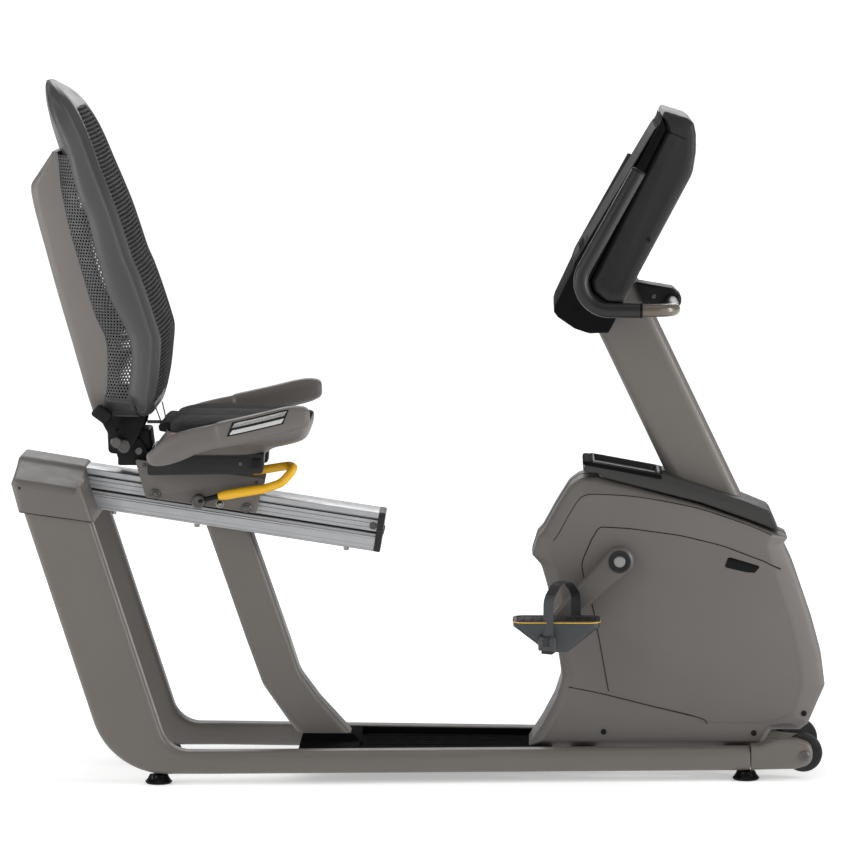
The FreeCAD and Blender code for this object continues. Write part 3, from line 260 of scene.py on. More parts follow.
MAT["steel"] = surface("machined_steel", srgb(140, 140, 138), rough=0.3, metal=1.0, grain=900, bump=0.03, vary=0.06, rvary=0.08)
MAT["dark_steel"] = surface("dark_steel", srgb(92, 90, 88), rough=0.36, metal=0.8, grain=900, bump=0.03, vary=0.06, rvary=0.08)
MAT["iron"] = surface("cast_iron", srgb(70, 70, 72), rough=0.5, metal=0.9, grain=700, bump=0.08, vary=0.08)
# knit ground: the knit's own dark colour, darkened further as painted shade for the grooves between the ribs
MAT["mesh"] = surface("knit_mesh_groove_shade", srgb(26, 26, 26), rough=0.85, spec=0.2, grain=1600, bump=0.2, depth=0.0004, vary=0.12, rvary=0.08, pattern="voronoi")
MAT["perf"] = surface("perforated_shell", srgb(48, 48, 48), rough=0.5, grain=1500, bump=0.05, vary=0.05)
MAT["contact"] = surface("pulse_contact", srgb(190, 190, 188), rough=0.24, metal=0.9, grain=300, bump=0.005, vary=0.03, rvary=0.04)
MAT["fabric"] = surface("seat_fabric", srgb(24, 24, 25), rough=0.88, spec=0.25, grain=1500, bump=0.2, depth=0.0004, vary=0.12, rvary=0.08, sheen=0.08, pattern="voronoi")
MAT["tray_dark"] = surface("tray_side", srgb(48, 47, 46), rough=0.45, spec=0.35, grain=1500, bump=0.05, vary=0.04)

MAT["deck"] = surface("deck_rubber", srgb(12, 12, 12), rough=0.85, spec=0.1, grain=1300, bump=0.06, vary=0.06, rvary=0.08, ior=1.2)
MAT["screen"] = surface("screen_glass", srgb(9, 9, 10), rough=0.32, spec=0.2, grain=500, bump=0.004, vary=0.03, rvary=0.04, ior=1.05)
MAT["bezel"] = surface("bezel_plastic", srgb(20, 20, 21), rough=0.55, spec=0.2, grain=1500, bump=0.03, vary=0.04, rvary=0.06, ior=1.08)
MAT["bar"] = surface("bar_paint", srgb(96, 88, 80), rough=0.3, metal=0.35, grain=900, bump=0.02, vary=0.03, rvary=0.05, coat=0.2)
MAT["display"] = surface("display_glass", srgb(8, 9, 11), rough=0.3, spec=0.2, grain=500, bump=0.004, vary=0.03, rvary=0.03, ior=1.05)
GX0, GZ0, GX1, GZ1 = 425.8, 1216.7, 275.9, 947.5

CAD_LOOK = {
    "side_rail_right": "paint", "side_rail_left": "paint", "rear_corners": "paint",
    "rear_upright_right": "paint", "rear_upright_left": "paint", "top_crossbeam": "paint",
    "rear_top_cover": "body", "seat_rail": "rail", "rail_end_cap": "dark", "centre_post": "paint",
    "cross_members": "paint", "deck_cover": "deck", "drive_frame": "dark_steel", "crank_bearings": "steel",
    "shroud_right": "body", "shroud_left": "body", "side_panel_right": "body", "side_panel_left": "body",
    "top_tray": "tray_dark", "console_mast": "paint", "console_housing": "dark", "console_bezel": "bezel",
    "console_screen": "gloss", "handlebar": "dark_steel", "handlebar_clamp": "black", "handlebar_grips": "foam",
    "wheel_brackets": "paint", "drive_belt": "rubber", "brake_magnet": "iron", "crank_axle": "steel",
    "drive_pulley": "dark_steel", "crank_arm_right": "arm", "crank_arm_left": "arm", "flywheel": "iron",
    "pedal_right": "pedal", "pedal_left": "pedal", "pedal_strap_right": "strap", "pedal_strap_left": "strap",
    "transport_wheel_right": "rubber", "transport_wheel_left": "rubber", "seat_carriage": "paint",
    "seat_base": "dark", "seat_pan": "dark", "seat_cushion": "fabric", "seat_handles": "body",
    "pulse_contacts": "contact", "recline_bracket": "black", "seat_rollers_front": "black", "seat_rollers_rear": "black",
    "seat_lever": "dark_steel", "lever_grip": "yellow", "back_frame": "dark_back", "back_mesh": "mesh",
    "back_cover": "body", "back_arms": "black", "recline_lever": "black", "foot_rear_right": "gloss",
    "foot_rear_left": "gloss", "foot_front_right": "gloss", "foot_front_left": "gloss",
}
for name, key in CAD_LOOK.items():
    o = NODES[name]
    o.data.materials.clear()
    o.data.materials.append(MAT[key])

# ================================================================ mesh tools (all sizes in mm)
def rounded(pts, n=6):
    """Outline with an optional radius at each corner (x, y[, r])."""
    out = []
    m = len(pts)
    for i in range(m):
        p = pts[i]
        r = p[2] if len(p) > 2 else 0.0
        P = Vector((p[0], p[1]))
        A, B = Vector(pts[i - 1][:2]), Vector(pts[(i + 1) % m][:2])
        d1, d2 = A - P, B - P
        if r <= 0 or d1.length < 1e-6 or d2.length < 1e-6:
            out.append((P.x, P.y))
            continue
        ang = d1.angle(d2)
        if math.pi - ang < 0.03:
            out.append((P.x, P.y))
            continue
        t = min(r / math.tan(ang / 2), d1.length * 0.49, d2.length * 0.49)
        r = t * math.tan(ang / 2)
        u1, u2 = d1.normalized(), d2.normalized()
        C = P + (u1 + u2).normalized() * (r / math.sin(ang / 2))
        a0 = math.atan2(*(P + u1 * t - C).yx)
        a1 = math.atan2(*(P + u2 * t - C).yx)
        d = (a1 - a0 + math.pi) % (2 * math.pi) - math.pi
        for k in range(n + 1):
            a = a0 + d * k / n
            out.append((C.x + r * math.cos(a), C.y + r * math.sin(a)))
    return out


def build(name, verts, faces, mat, body, slot, replaces=(), smooth=35.0, matrix=None, scale=K):
    me = bpy.data.meshes.new(name)
    vs = [Vector(v) * scale for v in verts]
    if matrix is not None:
        vs = [matrix @ v for v in vs]
    me.from_pydata(vs, [], faces)
    me.validate()
    bm = bmesh.new()
    bm.from_mesh(me)
    bmesh.ops.remove_doubles(bm, verts=bm.verts, dist=1e-6)
    bmesh.ops.recalc_face_normals(bm, faces=bm.faces)
    bm.to_mesh(me)
    bm.free()
    me.shade_smooth()
    if smooth is not None:
        me.set_sharp_from_angle(angle=math.radians(smooth))
    o = bpy.data.objects.new(name, me)
    bpy.context.collection.objects.link(o)
    me.materials.append(MAT[mat] if isinstance(mat, str) else mat)
    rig.ride(o, body)
    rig.slot(o, slot)
    if replaces:
        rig.replaces(o, *replaces)
    return o


def cut_caps(o):
    """Split many-sided flat ends into triangles so that they shade evenly."""
    bm = bmesh.new()
    bm.from_mesh(o.data)
    bmesh.ops.triangulate(bm, faces=[f for f in bm.faces if len(f.verts) > 8])
    bm.to_mesh(o.data)
    bm.free()
    return o


def bevel(o, width, segments=3, angle=38.0, clamp=True):
    m = o.modifiers.new("bevel", "BEVEL")
    m.width = width * K
    m.segments = segments
    m.limit_method = "ANGLE"
    m.angle_limit = math.radians(angle)
    m.use_clamp_overlap = clamp
    m.harden_normals = False
    m.miter_outer = "MITER_ARC"
    return o


def subsurf(o, levels=1):
    m = o.modifiers.new("subsurf", "SUBSURF")
    m.levels = levels
    m.render_levels = levels
    return o


def solidify(o, thick, offset=-1.0):
    m = o.modifiers.new("solidify", "SOLIDIFY")
    m.thickness = thick * K
    m.offset = offset
    m.use_even_offset = True
    return o


def smooth_after(o, angle=40.0):
    """Bakes the modifiers into the mesh and sets the shading from its angles."""
    dg = bpy.context.evaluated_depsgraph_get()
    bpy.context.view_layer.update()
    me = bpy.data.meshes.new_from_object(o.evaluated_get(dg))
    o.modifiers.clear()
    o.data = me
    me.shade_smooth()
    me.set_sharp_from_angle(angle=math.radians(angle))
    return o


def prism(pts, a, b, plane="xz"):
    """Verts and faces of an outline pushed from a to b across its plane."""
    def at(p, t):
        return {"xz": (p[0], t, p[1]), "xy": (p[0], p[1], t), "yz": (t, p[0], p[1])}[plane]
    n = len(pts)
    v = [at(p, a) for p in pts] + [at(p, b) for p in pts]
    f = [tuple(range(n)), tuple(range(2 * n - 1, n - 1, -1))]
    f += [(i, (i + 1) % n, n + (i + 1) % n, n + i) for i in range(n)]
    return v, f


def plate(name, pts, a, b, mat, body, slot, plane="xz", edge=1.0, seg=3, replaces=(), matrix=None, n=6, smooth=40.0):
    v, f = prism(rounded(pts, n), a, b, plane)
    o = build(name, v, f, mat, body, slot, replaces, smooth, matrix)
    if edge:
        bevel(o, edge, seg)
        smooth_after(o, smooth)
    return o


def grid(rows, closed=False, cap=False):
    """Faces over rows of points; closed joins each row's ends; cap fills both end rows."""
    n = len(rows[0])
    v = [p for r in rows for p in r]
    f = []
    for i in range(len(rows) - 1):
        for j in range(n if closed else n - 1):
            k = (j + 1) % n
            f.append((i * n + j, i * n + k, (i + 1) * n + k, (i + 1) * n + j))
    if cap:
        f.append(tuple(range(n - 1, -1, -1)))
        base = (len(rows) - 1) * n
        f.append(tuple(base + j for j in range(n)))
    return v, f


def tube_rows(path, radius, sides=20, flat=1.0, up=(0, 0, 1)):
    """Rings along a path; radius may be a number or one per point."""
    pts = [Vector(p) for p in path]
    rows = []
    ref = None
    for i, p in enumerate(pts):
        t = (pts[min(i + 1, len(pts) - 1)] - pts[max(i - 1, 0)]).normalized()
        if ref is None:
            ref = Vector(up)
            if abs(ref.dot(t)) > 0.95:
                ref = Vector((0, 1, 0))
        ref = (ref - t * ref.dot(t)).normalized()
        side = t.cross(ref)
        r = radius[i] if isinstance(radius, (list, tuple)) else radius
        rows.append([p + ref * (math.sin(a) * r * flat) + side * (math.cos(a) * r) for a in [2 * math.pi * k / sides for k in range(sides)]])
    return rows


def tube(name, path, radius, mat, body, slot, sides=20, replaces=(), round_ends=0.0, flat=1.0, smooth=50.0):
    rows = tube_rows(path, radius, sides, flat)
    if round_ends:
        r0 = radius[0] if isinstance(radius, (list, tuple)) else radius
        r1 = radius[-1] if isinstance(radius, (list, tuple)) else radius
        for end, r in ((0, r0), (-1, r1)):
            c = Vector(path[end])
            t = (Vector(path[0]) - Vector(path[1])).normalized() if end == 0 else (Vector(path[-1]) - Vector(path[-2])).normalized()
            ring = rows[end]
            extra = []
            for k in (1, 2, 3):
                a = k / 3 * math.pi / 2 * 0.98
                off = t * (math.sin(a) * round_ends) - t * round_ends
                sc = (r - round_ends + round_ends * math.cos(a)) / r
                extra.append([c + (p - c) * sc + off for p in ring])
            base = [p - t * round_ends for p in ring]
            if end == 0:
                rows = extra[::-1] + [base] + rows[1:]
            else:
                rows = rows[:-1] + [base] + extra
    v, f = grid(rows, closed=True, cap=True)
    return build(name, v, f, mat, body, slot, replaces, smooth)


def spline(points, per=8, closed=False):
    """Catmull-Rom through the points, in any dimension."""
    P = [Vector(p) for p in points]
    n = len(P)
    out = []
    for i in range(n if closed else n - 1):
        a, b, c, d = (P[(i - 1) % n] if closed or i else P[0] * 2 - P[1]), P[i], P[(i + 1) % n], (P[(i + 2) % n] if closed or i + 2 < n else P[-1] * 2 - P[-2])
        for k in range(per):
            t = k / per
            out.append(0.5 * ((2 * b) + (c - a) * t + (2 * a - 5 * b + 4 * c - d) * t * t + (-a + 3 * b - 3 * c + d) * t ** 3))
    if not closed:
        out.append(P[-1])
    return out


def bent(points, radii, per=8):
    """Straight runs joined by arcs, as points."""
    P = [Vector(p) for p in points]
    out = [P[0]]
    for i in range(1, len(P) - 1):
        u1, u2 = (P[i - 1] - P[i]).normalized(), (P[i + 1] - P[i]).normalized()
        ang = u1.angle(u2)
        r = radii[i - 1]
        t = r / math.tan(ang / 2)
        C = P[i] + (u1 + u2).normalized() * (r / math.sin(ang / 2))
        a, b = P[i] + u1 * t - C, P[i] + u2 * t - C
        tot = a.angle(b)
        for k in range(per + 1):
            s = k / per
            q = (a * math.sin((1 - s) * tot) + b * math.sin(s * tot)) / math.sin(tot)
            out.append(C + q)
    out.append(P[-1])
    return out


def turned(name, prof, centre, axis, mat, body, slot, n=48, replaces=(), smooth=35.0):
    """Revolve (radius, along) points about an axis through centre."""
    z = Vector(axis).normalized()
    x = Vector((0, 0, 1)) if abs(z.z) < 0.9 else Vector((1, 0, 0))
    x = (x - z * x.dot(z)).normalized()
    y = z.cross(x)
    c = Vector(centre)
    rows = [[c + z * h + (x * math.cos(a) + y * math.sin(a)) * max(r, 0.001) for a in [2 * math.pi * k / n for k in range(n)]] for r, h in prof]
    v, f = grid(rows, closed=True, cap=True)
    return build(name, v, f, mat, body, slot, replaces, smooth)


def lerp(table, z):
    """Value at z in a table of (z, value)."""
    t = sorted(table)
    if z <= t[0][0]:
        return t[0][1]
    for (a, va), (b, vb) in zip(t, t[1:]):
        if z <= b:
            s = (z - a) / (b - a)
            return va + (vb - va) * s
    return t[-1][1]


def easy(table, z):
    """Smooth value at z through a table of (z, value)."""
    t = sorted(table)
    if z <= t[0][0]:
        return t[0][1]
    if z >= t[-1][0]:
        return t[-1][1]
    for i in range(len(t) - 1):
        if z <= t[i + 1][0]:
            (x0, y0), (x1, y1) = t[i], t[i + 1]
            m0 = (y1 - t[i - 1][1]) / (x1 - t[i - 1][0]) if i else (y1 - y0) / (x1 - x0)
            m1 = (t[i + 2][1] - y0) / (t[i + 2][0] - x0) if i + 2 < len(t) else (y1 - y0) / (x1 - x0)
            h = x1 - x0
            s = (z - x0) / h
            return (2 * s ** 3 - 3 * s * s + 1) * y0 + (s ** 3 - 2 * s * s + s) * h * m0 + (-2 * s ** 3 + 3 * s * s) * y1 + (s ** 3 - s * s) * h * m1
    return t[-1][1]


def join(name, parts):
    """One object out of several with the same material and body."""
    bpy.context.view_layer.update()
    bm = bmesh.new()
    for p in parts:
        bm.from_mesh(p.data)
    me = bpy.data.meshes.new(name)
    bm.to_mesh(me)
    bm.free()
    first = parts[0]
    me.materials.append(first.data.materials[0])
    me.shade_smooth()
    me.set_sharp_from_angle(angle=math.radians(38))
    first.data = me
    first.name = name
    for p in parts[1:]:
        bpy.data.objects.remove(p)
    return first


def screw(name, x, y, z, side, r, body, mat="dark_steel", slot="steel", h=3.0, socket=True):
    """A button-head screw on a plane of constant y; side is -1 or 1 (outwards)."""
    prof = [(r, -1.0), (r, h * 0.25), (r * 0.86, h * 0.75), (r * 0.6, h), (r * 0.5, h)]
    prof += [(r * 0.42, h * 0.35), (0.01, h * 0.35)] if socket else [(0.01, h)]
    return turned(name, prof, (x, y, z), (0, side, 0), mat, body, slot, n=24)


SIDES = (("right", -1.0), ("left", 1.0))


# ================================================================ detailed copies and lofts
def refine(node, mat, body, slot, width=1.5, seg=3, flat=1.2, angle=30.0, name=None, shade=35.0):
    """A softened copy of a hard-edged piece: coplanar triangles merged, its sharp edges rounded."""
    bm = bmesh.new()
    bm.from_mesh(NODES[node].data)
    bmesh.ops.remove_doubles(bm, verts=bm.verts, dist=2e-5)
    bmesh.ops.dissolve_limit(bm, angle_limit=math.radians(flat), verts=bm.verts, edges=bm.edges)
    me = bpy.data.meshes.new((name or node) + "_detail")
    bm.to_mesh(me)
    bm.free()
    me.materials.clear()
    me.materials.append(MAT[mat])
    me.shade_smooth()
    me.set_sharp_from_angle(angle=math.radians(shade))
    o = bpy.data.objects.new((name or node) + "_detail", me)
    bpy.context.collection.objects.link(o)
    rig.ride(o, body)
    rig.slot(o, slot)
    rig.replaces(o, node)
    if width:
        bevel(o, width, seg, angle)
        smooth_after(o, shade)
    return o


def corner_loop(pts, n=5, tiny=0.6):
    """Like rounded(), but always n + 1 points per corner, so that two outlines can be matched."""
    out = []
    m = len(pts)
    for i in range(m):
        p = pts[i]
        r = p[2] if len(p) > 2 and p[2] > 0 else tiny
        P, A, B = Vector(p[:2]), Vector(pts[i - 1][:2]), Vector(pts[(i + 1) % m][:2])
        d1, d2 = A - P, B - P
        ang = d1.angle(d2)
        t = min(r / max(1e-3, math.tan(ang / 2)), d1.length * 0.48, d2.length * 0.48)
        t = max(t, 0.3)
        a, b = P + d1.normalized() * t, P + d2.normalized() * t
        for k in range(n + 1):
            s = k / n
            # circle-like blend of the corner
            w = 2 * s * (1 - s)
            q = (a * (1 - s) ** 2 + P * w + b * s * s)
            out.append((q.x, q.y))
    return out


def skin(name, loop0, loop1, stations, mat, body, slot, replaces=(), side=1.0, smooth=35.0, cap=True, n=5, extra=None):
    """Rows between a matched outer and inner outline in x-z; stations are (blend, y)."""
    a, b = corner_loop(loop0, n), corner_loop(loop1, n)
    rows = []
    for t, y in stations:
        rows.append([(p[0] + (q[0] - p[0]) * t, side * y, p[1] + (q[1] - p[1]) * t) for p, q in zip(a, b)])
    v, f = grid(rows, closed=True)
    if cap:
        base = (len(rows) - 1) * len(a)
        f.append(tuple(base + j for j in range(len(a))))
    return build(name, v, f, mat, body, slot, replaces, smooth)


def ring_loop(cx, cy, hx, hy, r, n=6, z=0.0):
    """A rounded rectangle in x-y at height z."""
    return [(x, y, z) for x, y in rounded([(cx - hx, cy - hy, r), (cx + hx, cy - hy, r), (cx + hx, cy + hy, r), (cx - hx, cy + hy, r)], n)]


def groove(name, path, r, body, closed=False, mat="gloss", slot="black_plastic", sides=6):
    """A thin dark line lying in a surface, for a parting line, or as painted shade along a crease."""
    if closed:
        path = list(path) + [path[0], path[1]]
    return tube(name, path, r, mat, body, slot, sides=sides)


def hexbolt(name, x, y, z, side, r, body, mat="dark_steel", h=5.0, turn=0.0, washer=True):
    """Hexagon head on its washer, on a plane of constant y."""
    parts = []
    if washer:
        parts.append(turned(name + "_w", [(r * 0.4, -0.5), (r * 1.45, -0.5), (r * 1.45, 1.0), (r * 1.3, 1.5), (r * 0.4, 1.5)], (x, y, z), (0, side, 0), mat, body, "steel", n=32))
    pts = [(x + r * 1.1 * math.cos(math.radians(60 * k + turn)), z + r * 1.1 * math.sin(math.radians(60 * k + turn))) for k in range(6)]
    y0, y1 = sorted((y, y + side * h))
    parts.append(plate(name, pts, y0, y1, mat, body, "steel", edge=0.9, seg=2))
    return join(name, parts[::-1])
# ================================================================ seat back
XF = [(715, -537), (721.5, -534), (735, -527), (780, -517), (801, -513.5), (840, -509.5), (882, -507), (906, -513), (960, -530), (1013, -549), (1036, -559.5), (1090, -577), (1140, -594), (1222, -627), (1277, -648.4), (1321, -670), (1356, -694.6), (1374, -715), (1386, -735)]
XR = [(715, -560), (735, -566), (763, -575), (810, -570), (855, -567), (886, -572), (920, -587), (953, -604), (998, -620), (1060, -637), (1124, -653), (1157, -668), (1200, -681), (1243, -692.6), (1280, -708), (1320, -727), (1350, -736), (1386, -741)]
XT = [(715, -622), (739, -624), (758, -624), (787, -617.5), (836, -615.5), (882, -619), (924.6, -638.5), (994.6, -660), (1040, -673), (1096, -689.5), (1140, -699), (1179, -707), (1251, -712), (1386, -730)]
XC = [(715, -646), (739, -652), (985, -722), (1063, -743), (1128, -761), (1165, -769), (1176, -769.5), (1184, -768), (1200, -757), (1245, -726)]
WID = [(0, 724), (80, 723), (132, 725), (164, 734), (188, 756), (199, 790), (206, 836), (209, 883), (210, 940), (210, 995), (209, 1063), (206, 1128), (198, 1190), (184, 1245), (162, 1300), (128, 1346), (92, 1370), (48, 1382)]
outline = [(y, z) for y, z in WID] + [(0, 1384.6)] + [(-y, z) for y, z in reversed(WID[1:])]
loop = spline(outline, 6, closed=True)
m = len(loop)
rows = []
lip = []
for i in range(m):
    p, a, b = loop[i], loop[i - 1], loop[(i + 1) % m]
    t = (b - a).normalized()
    nrm = Vector((t.y, -t.x))
    if nrm.dot(Vector((0, 1050)) - p) > 0:
        nrm = -nrm
    inw = -nrm
    top = max(0.0, inw.y * -1.0)          # 1 at the crown
    bot = max(0.0, inw.y)
    d0 = 13 + 37 * top ** 3 + 12 * bot ** 3
    xr = easy(XR, p.y)

    def at(d, x=None, front=0.0):
        q = p + inw * d
        xx = easy(XF, q.y) + front if x is None else x
        return (xx, q.x, q.y)

    def rear(d, off):
        q = p + inw * d
        return (easy(XR, q.y) + off, q.x, q.y)
    xf = easy(XF, p.y)
    dep = max(6.0, xf - xr)
    e1, e2, e3 = min(14.0, dep * 0.42), min(18.0, dep * 0.54), min(25.0, dep * 0.68)
    e4 = max(dep * 0.55, min(26.0, dep * 0.7) + dep * 0.05)
    e5 = max(dep * 0.8, e4 + dep * 0.06)
    soft = min(1.0, dep / 60.0)
    row = [at(d0 + 2, None, -9.0 * soft), at(d0, None, -3.5 * soft), at(d0 - 2.5, None, -0.8), at(7.5, None, 0.0), at(4.5, xf - min(4.0, dep * 0.12)), at(1.2, xf - min(11.0, dep * 0.33)),
           at(0.0, xf - e1), at(1.0 * soft, xf - min(17.0, dep * 0.5)), at(3.5 * soft, xf - min(20.0, dep * 0.58)), at(5.6 * soft, xf - min(26.0, dep * 0.7)), at(7.5 * soft + 1, xf - e4), at(10 + 6 * (1 - top), xf - e5), rear(14 + 10 * (1 - top), min(5.0, dep * 0.1)), rear(17 + 11 * (1 - top), min(1.0, dep * 0.03)), rear(20 + 12 * (1 - top), 1.5), rear(24 + 13 * (1 - top), 4.5)]
    rows.append(row)
rows.append(rows[0])
v, f = grid(rows)
o = build("back_frame_shell", v, f, "dark_back", "back", "dark_plastic", ("back_frame",), None)
solidify(o, 2.4, 0.0)
o.modifiers["solidify"].use_even_offset = False
subsurf(o, 1)
smooth_after(o, 60)


def edge_y(z):
    """Half-width of the shell's rear edge at height z."""
    best = None
    for i in range(m):
        a, b = loop[i], loop[(i + 1) % m]
        if a.x > 0 or b.x > 0:
            if (a.y - z) * (b.y - z) <= 0 and abs(b.y - a.y) > 1e-6:
                s = (z - a.y) / (b.y - a.y)
                y = a.x + (b.x - a.x) * s
                best = max(best or 0, y)
    return best or 40.0


EDGE = [(z, edge_y(z)) for z in range(726, 1384, 6)]


CW = [(724, 112), (744, 124), (787, 146), (836, 155), (883, 157), (925, 157), (995, 156), (1063, 154), (1128, 149), (1183, 141), (1245, 127), (1300, 110), (1349, 84), (1374, 56), (1384, 30)]
CR = [(1150, -702), (1186, -706), (1200, -708), (1245, -714), (1262, -720), (1300, -732), (1349, -743), (1374, -746), (1384, -744)]


def rear_rim(z):
    """Where the shell's rear edge is: x and half-width."""
    return easy(XR, z) + 2.5, max(14.0, lerp(EDGE, z) - 26.0)


def rear_mid(z):
    """Where the rear skin turns flat behind the cover."""
    xt = easy(XT, z) - 1.0 if z < 1186 else lerp(CR, z)
    return xt, min(lerp(CW, z) - 2.0, rear_rim(z)[1] - 7.0)


def strip_point(u, z):
    """A point u mm in from the rim along the rear skin."""
    (x0, y0), (x1, y1) = rear_rim(z), rear_mid(z)
    L = math.hypot(x1 - x0, y1 - y0)
    t = u / L
    b = 4 * t * (1 - t) * min(3.0, L * 0.05)
    nx, ny = -(y0 - y1) / L, (x0 - x1) / L
    return x0 + (x1 - x0) * t + nx * b, y0 + (y1 - y0) * t + ny * b, L


def perforated(name, side):
    pitch, hole = 7.0, 2.0
    zs0, zs1 = 753.0, 1240.0
    verts, faces, key = [], [], {}

    def put(u, z):
        k = (round(u, 2), round(z, 2))
        if k not in key:
            x, y, _ = strip_point(u, z)
            key[k] = len(verts)
            verts.append((x, side * y, z))
        return key[k]
    h = pitch / math.sqrt(3)
    for r in range(int((zs1 - zs0) / (1.5 * h)) + 1):
        z = zs0 + r * 1.5 * h
        L = strip_point(0, z)[2]
        for c in range(-1, int((L + 6) / pitch) + 1):
            u = c * pitch + (pitch / 2 if r % 2 else 0)
            hexa = [(u + h * math.sin(math.radians(60 * k)), z + h * math.cos(math.radians(60 * k))) for k in range(6)]
            ids = [put(*q) for q in hexa]
            if u < 2.5 or r in (0, 1):
                faces.append(tuple(ids))
                continue
            ring = [put(u + hole * math.sin(math.radians(30 * k)), z + hole * math.cos(math.radians(30 * k))) for k in range(12)]
            for k in range(6):
                n1, n2, n3 = ring[2 * k], ring[(2 * k + 1) % 12], ring[(2 * k + 2) % 12]
                faces += [(ids[k], n1, n2), (ids[k], n2, ids[(k + 1) % 6]), (n2, n3, ids[(k + 1) % 6])]
    o = build(name, verts, faces, "perf", "back", "dark_plastic", (), 60)
    solidify(o, 1.6, 0.0)
    smooth_after(o, 60)
    return o


for sd, sg in SIDES:
    perforated("back_perforated_" + sd, sg)
    # plain skin under the holes, down to the shell's foot
    rows = []
    for z in [722, 726, 730, 736, 742, 748, 754, 757]:
        L = strip_point(0, z)[2]
        rows.append([(strip_point(u, z)[0] + 0.3, sg * strip_point(u, z)[1], z) for u in [-6 + (L + 10) * k / 8 for k in range(9)]])
    v, f = grid(rows)
    o = build("back_foot_skin_" + sd, v, f, "dark_back", "back", "dark_plastic", (), 60)
    solidify(o, 2.0, 0.0)

# solid rear skin behind the cover, then the crown above it
rows = []
for z in list(range(724, 1216, 18)):
    x1, y1 = rear_mid(z)
    rows.append([(x1 + 2.0, (y1 + 3) * k / 10, z) for k in range(-10, 11)])
v, f = grid(rows)
o = build("back_inner_skin", v, f, "perf", "back", "dark_plastic", (), 60)
solidify(o, 2.0, 0.0)
rows = []
for z in [1196 + 9.4 * k for k in range(21)]:
    x0, y0 = rear_rim(z)
    x1, y1 = rear_mid(z)
    fade = 0.0 if z > 1234 else 1.0
    half = []
    for k in range(0, 15):
        s = k / 14
        y = (y0 + 4) * s if fade == 0 else (y1 + 4) * s
        q = y / y0
        half.append((x1 + (x0 - x1) * q ** 3.0 + (1.2 if z < 1250 else 0.0), y, z))
    rows.append([(x, -y, zz) for x, y, zz in half[:0:-1]] + half)
v, f = grid(rows)
o = build("back_crown_skin", v, f, "dark_back", "back", "dark_plastic", (), 60)
solidify(o, 2.4, 0.0)

# ribbed knit across the front; the ribs take a lighter colour than the dark ground behind them: painted light on the
# rib crests and painted shade in the grooves, over the knit's own dark colour
ribs, gap = [], []
z = 762.0
verts, faces = [], []
pitch = 7.9
while z < 1334:
    q = []
    for dz, dx in ((-2.1, -2.6), (-1.5, -0.4), (-0.6, 0.6), (0.6, 0.6), (1.5, -0.4), (2.1, -2.6)):
        zz = z + dz
        Y = lerp(EDGE, zz) - 12.0 - (26 if zz > 1310 else 0)
        q.append([(easy(XF, zz) - 2.2 + dx + 4.0 * math.sin(math.pi * (k + 12) / 24), Y * k / 12, zz) for k in range(-12, 13)])
    base = len(verts)
    n = 25
    verts += [p for r in q for p in r]
    for i in range(5):
        for j in range(n - 1):
            faces.append((base + i * n + j, base + i * n + j + 1, base + (i + 1) * n + j + 1, base + (i + 1) * n + j))
    z += pitch
# the ribs' lighter grey, against the darker ground, is painted light on the rib crests
build("back_knit_ribs", verts, faces, surface("knit_rib", srgb(40, 40, 40), rough=0.75, spec=0.2, grain=1500, bump=0.15, depth=0.0003, vary=0.10, pattern="voronoi"), "back", "mesh_fabric", (), 60)
# dark ground behind the ribs: the knit's own colour, darkened as painted shade in the grooves between the ribs
rows = []
for z in [752 + 14.6 * k for k in range(41)]:
    Y = lerp(EDGE, z) - 11.0 - (24 if z > 1310 else 0)
    rows.append([(easy(XF, z) - 7.5 + 4.0 * math.sin(math.pi * (k + 12) / 24), Y * k / 12, z) for k in range(-12, 13)])
v, f = grid(rows)
o = build("back_knit_ground_groove_shade", v, f, "mesh", "back", "mesh_fabric", ("back_mesh",), 60)
solidify(o, 1.2, 0.0)

# moulded cover behind
rows = []
for z in [726, 732, 739, 760, 787, 812, 836, 860, 882, 905, 924.6, 960, 994.6, 1040, 1063, 1096, 1128, 1150, 1165, 1174, 1180, 1186, 1200, 1222, 1243, 1247]:
    xt, xc = easy(XT, z) + 1.0, easy(XC, z)
    hw = lerp(CW, z) + 1.0
    if z > 1186:
        xt = min(xt, -708.0, lerp(CR, z) + 1.0)
    depth = xt - xc
    r = max(3.0, min(30.0, depth * 0.5))
    hr = hw - min(32.0, depth * 0.42)
    sec = rounded([(xt, -hw, 0.8), (xc, -hr, r), (xc, hr, r), (xt, hw, 0.8)], 7)
    if z == 1247:
        sec = [((a - xt) * 0.9 + xt - 1, b * 0.985) for a, b in sec]
    if z == 726:
        sec = [((a - xt) * 0.8 + xt - 4, b * 0.96) for a, b in sec]
    rows.append([(a, b, z) for a, b in sec])
v, f = grid(rows, closed=True, cap=True)
o = build("back_cover_shell", v, f, "body", "back", "body_plastic", ("back_cover",), 32)


# closed housing round the recline joint: the lower half stays on the seat, the upper half tips with the back
plate("recline_housing_low", [(-624.0, 642.0, 9), (-626.0, 691.0, 5), (-541.0, 691.0, 5), (-536.0, 652.0, 9), (-562.0, 637.0, 8)], -44.0, 44.0, "black", "seat", "black_plastic", edge=3.0, seg=3)
plate("recline_housing_up", [(-620.0, 672.0, 9), (-622.0, 737.0, 3), (-563.0, 737.0, 3), (-563.0, 698.0, 9), (-572.0, 672.0, 9)], -42.0, 42.0, "black", "back", "black_plastic", edge=3.0, seg=3)


# ================================================================ seat
def superloop(cx, hx, hy, z, power=4.0, n=64, tilt=0.0):
    out = []
    for k in range(n):
        a = 2 * math.pi * k / n
        c, s = math.cos(a), math.sin(a)
        x = cx + hx * math.copysign(abs(c) ** (2 / power), c)
        y = hy * math.copysign(abs(s) ** (2 / power), s)
        out.append((x, y, z + tilt * (x - cx)))
    return out


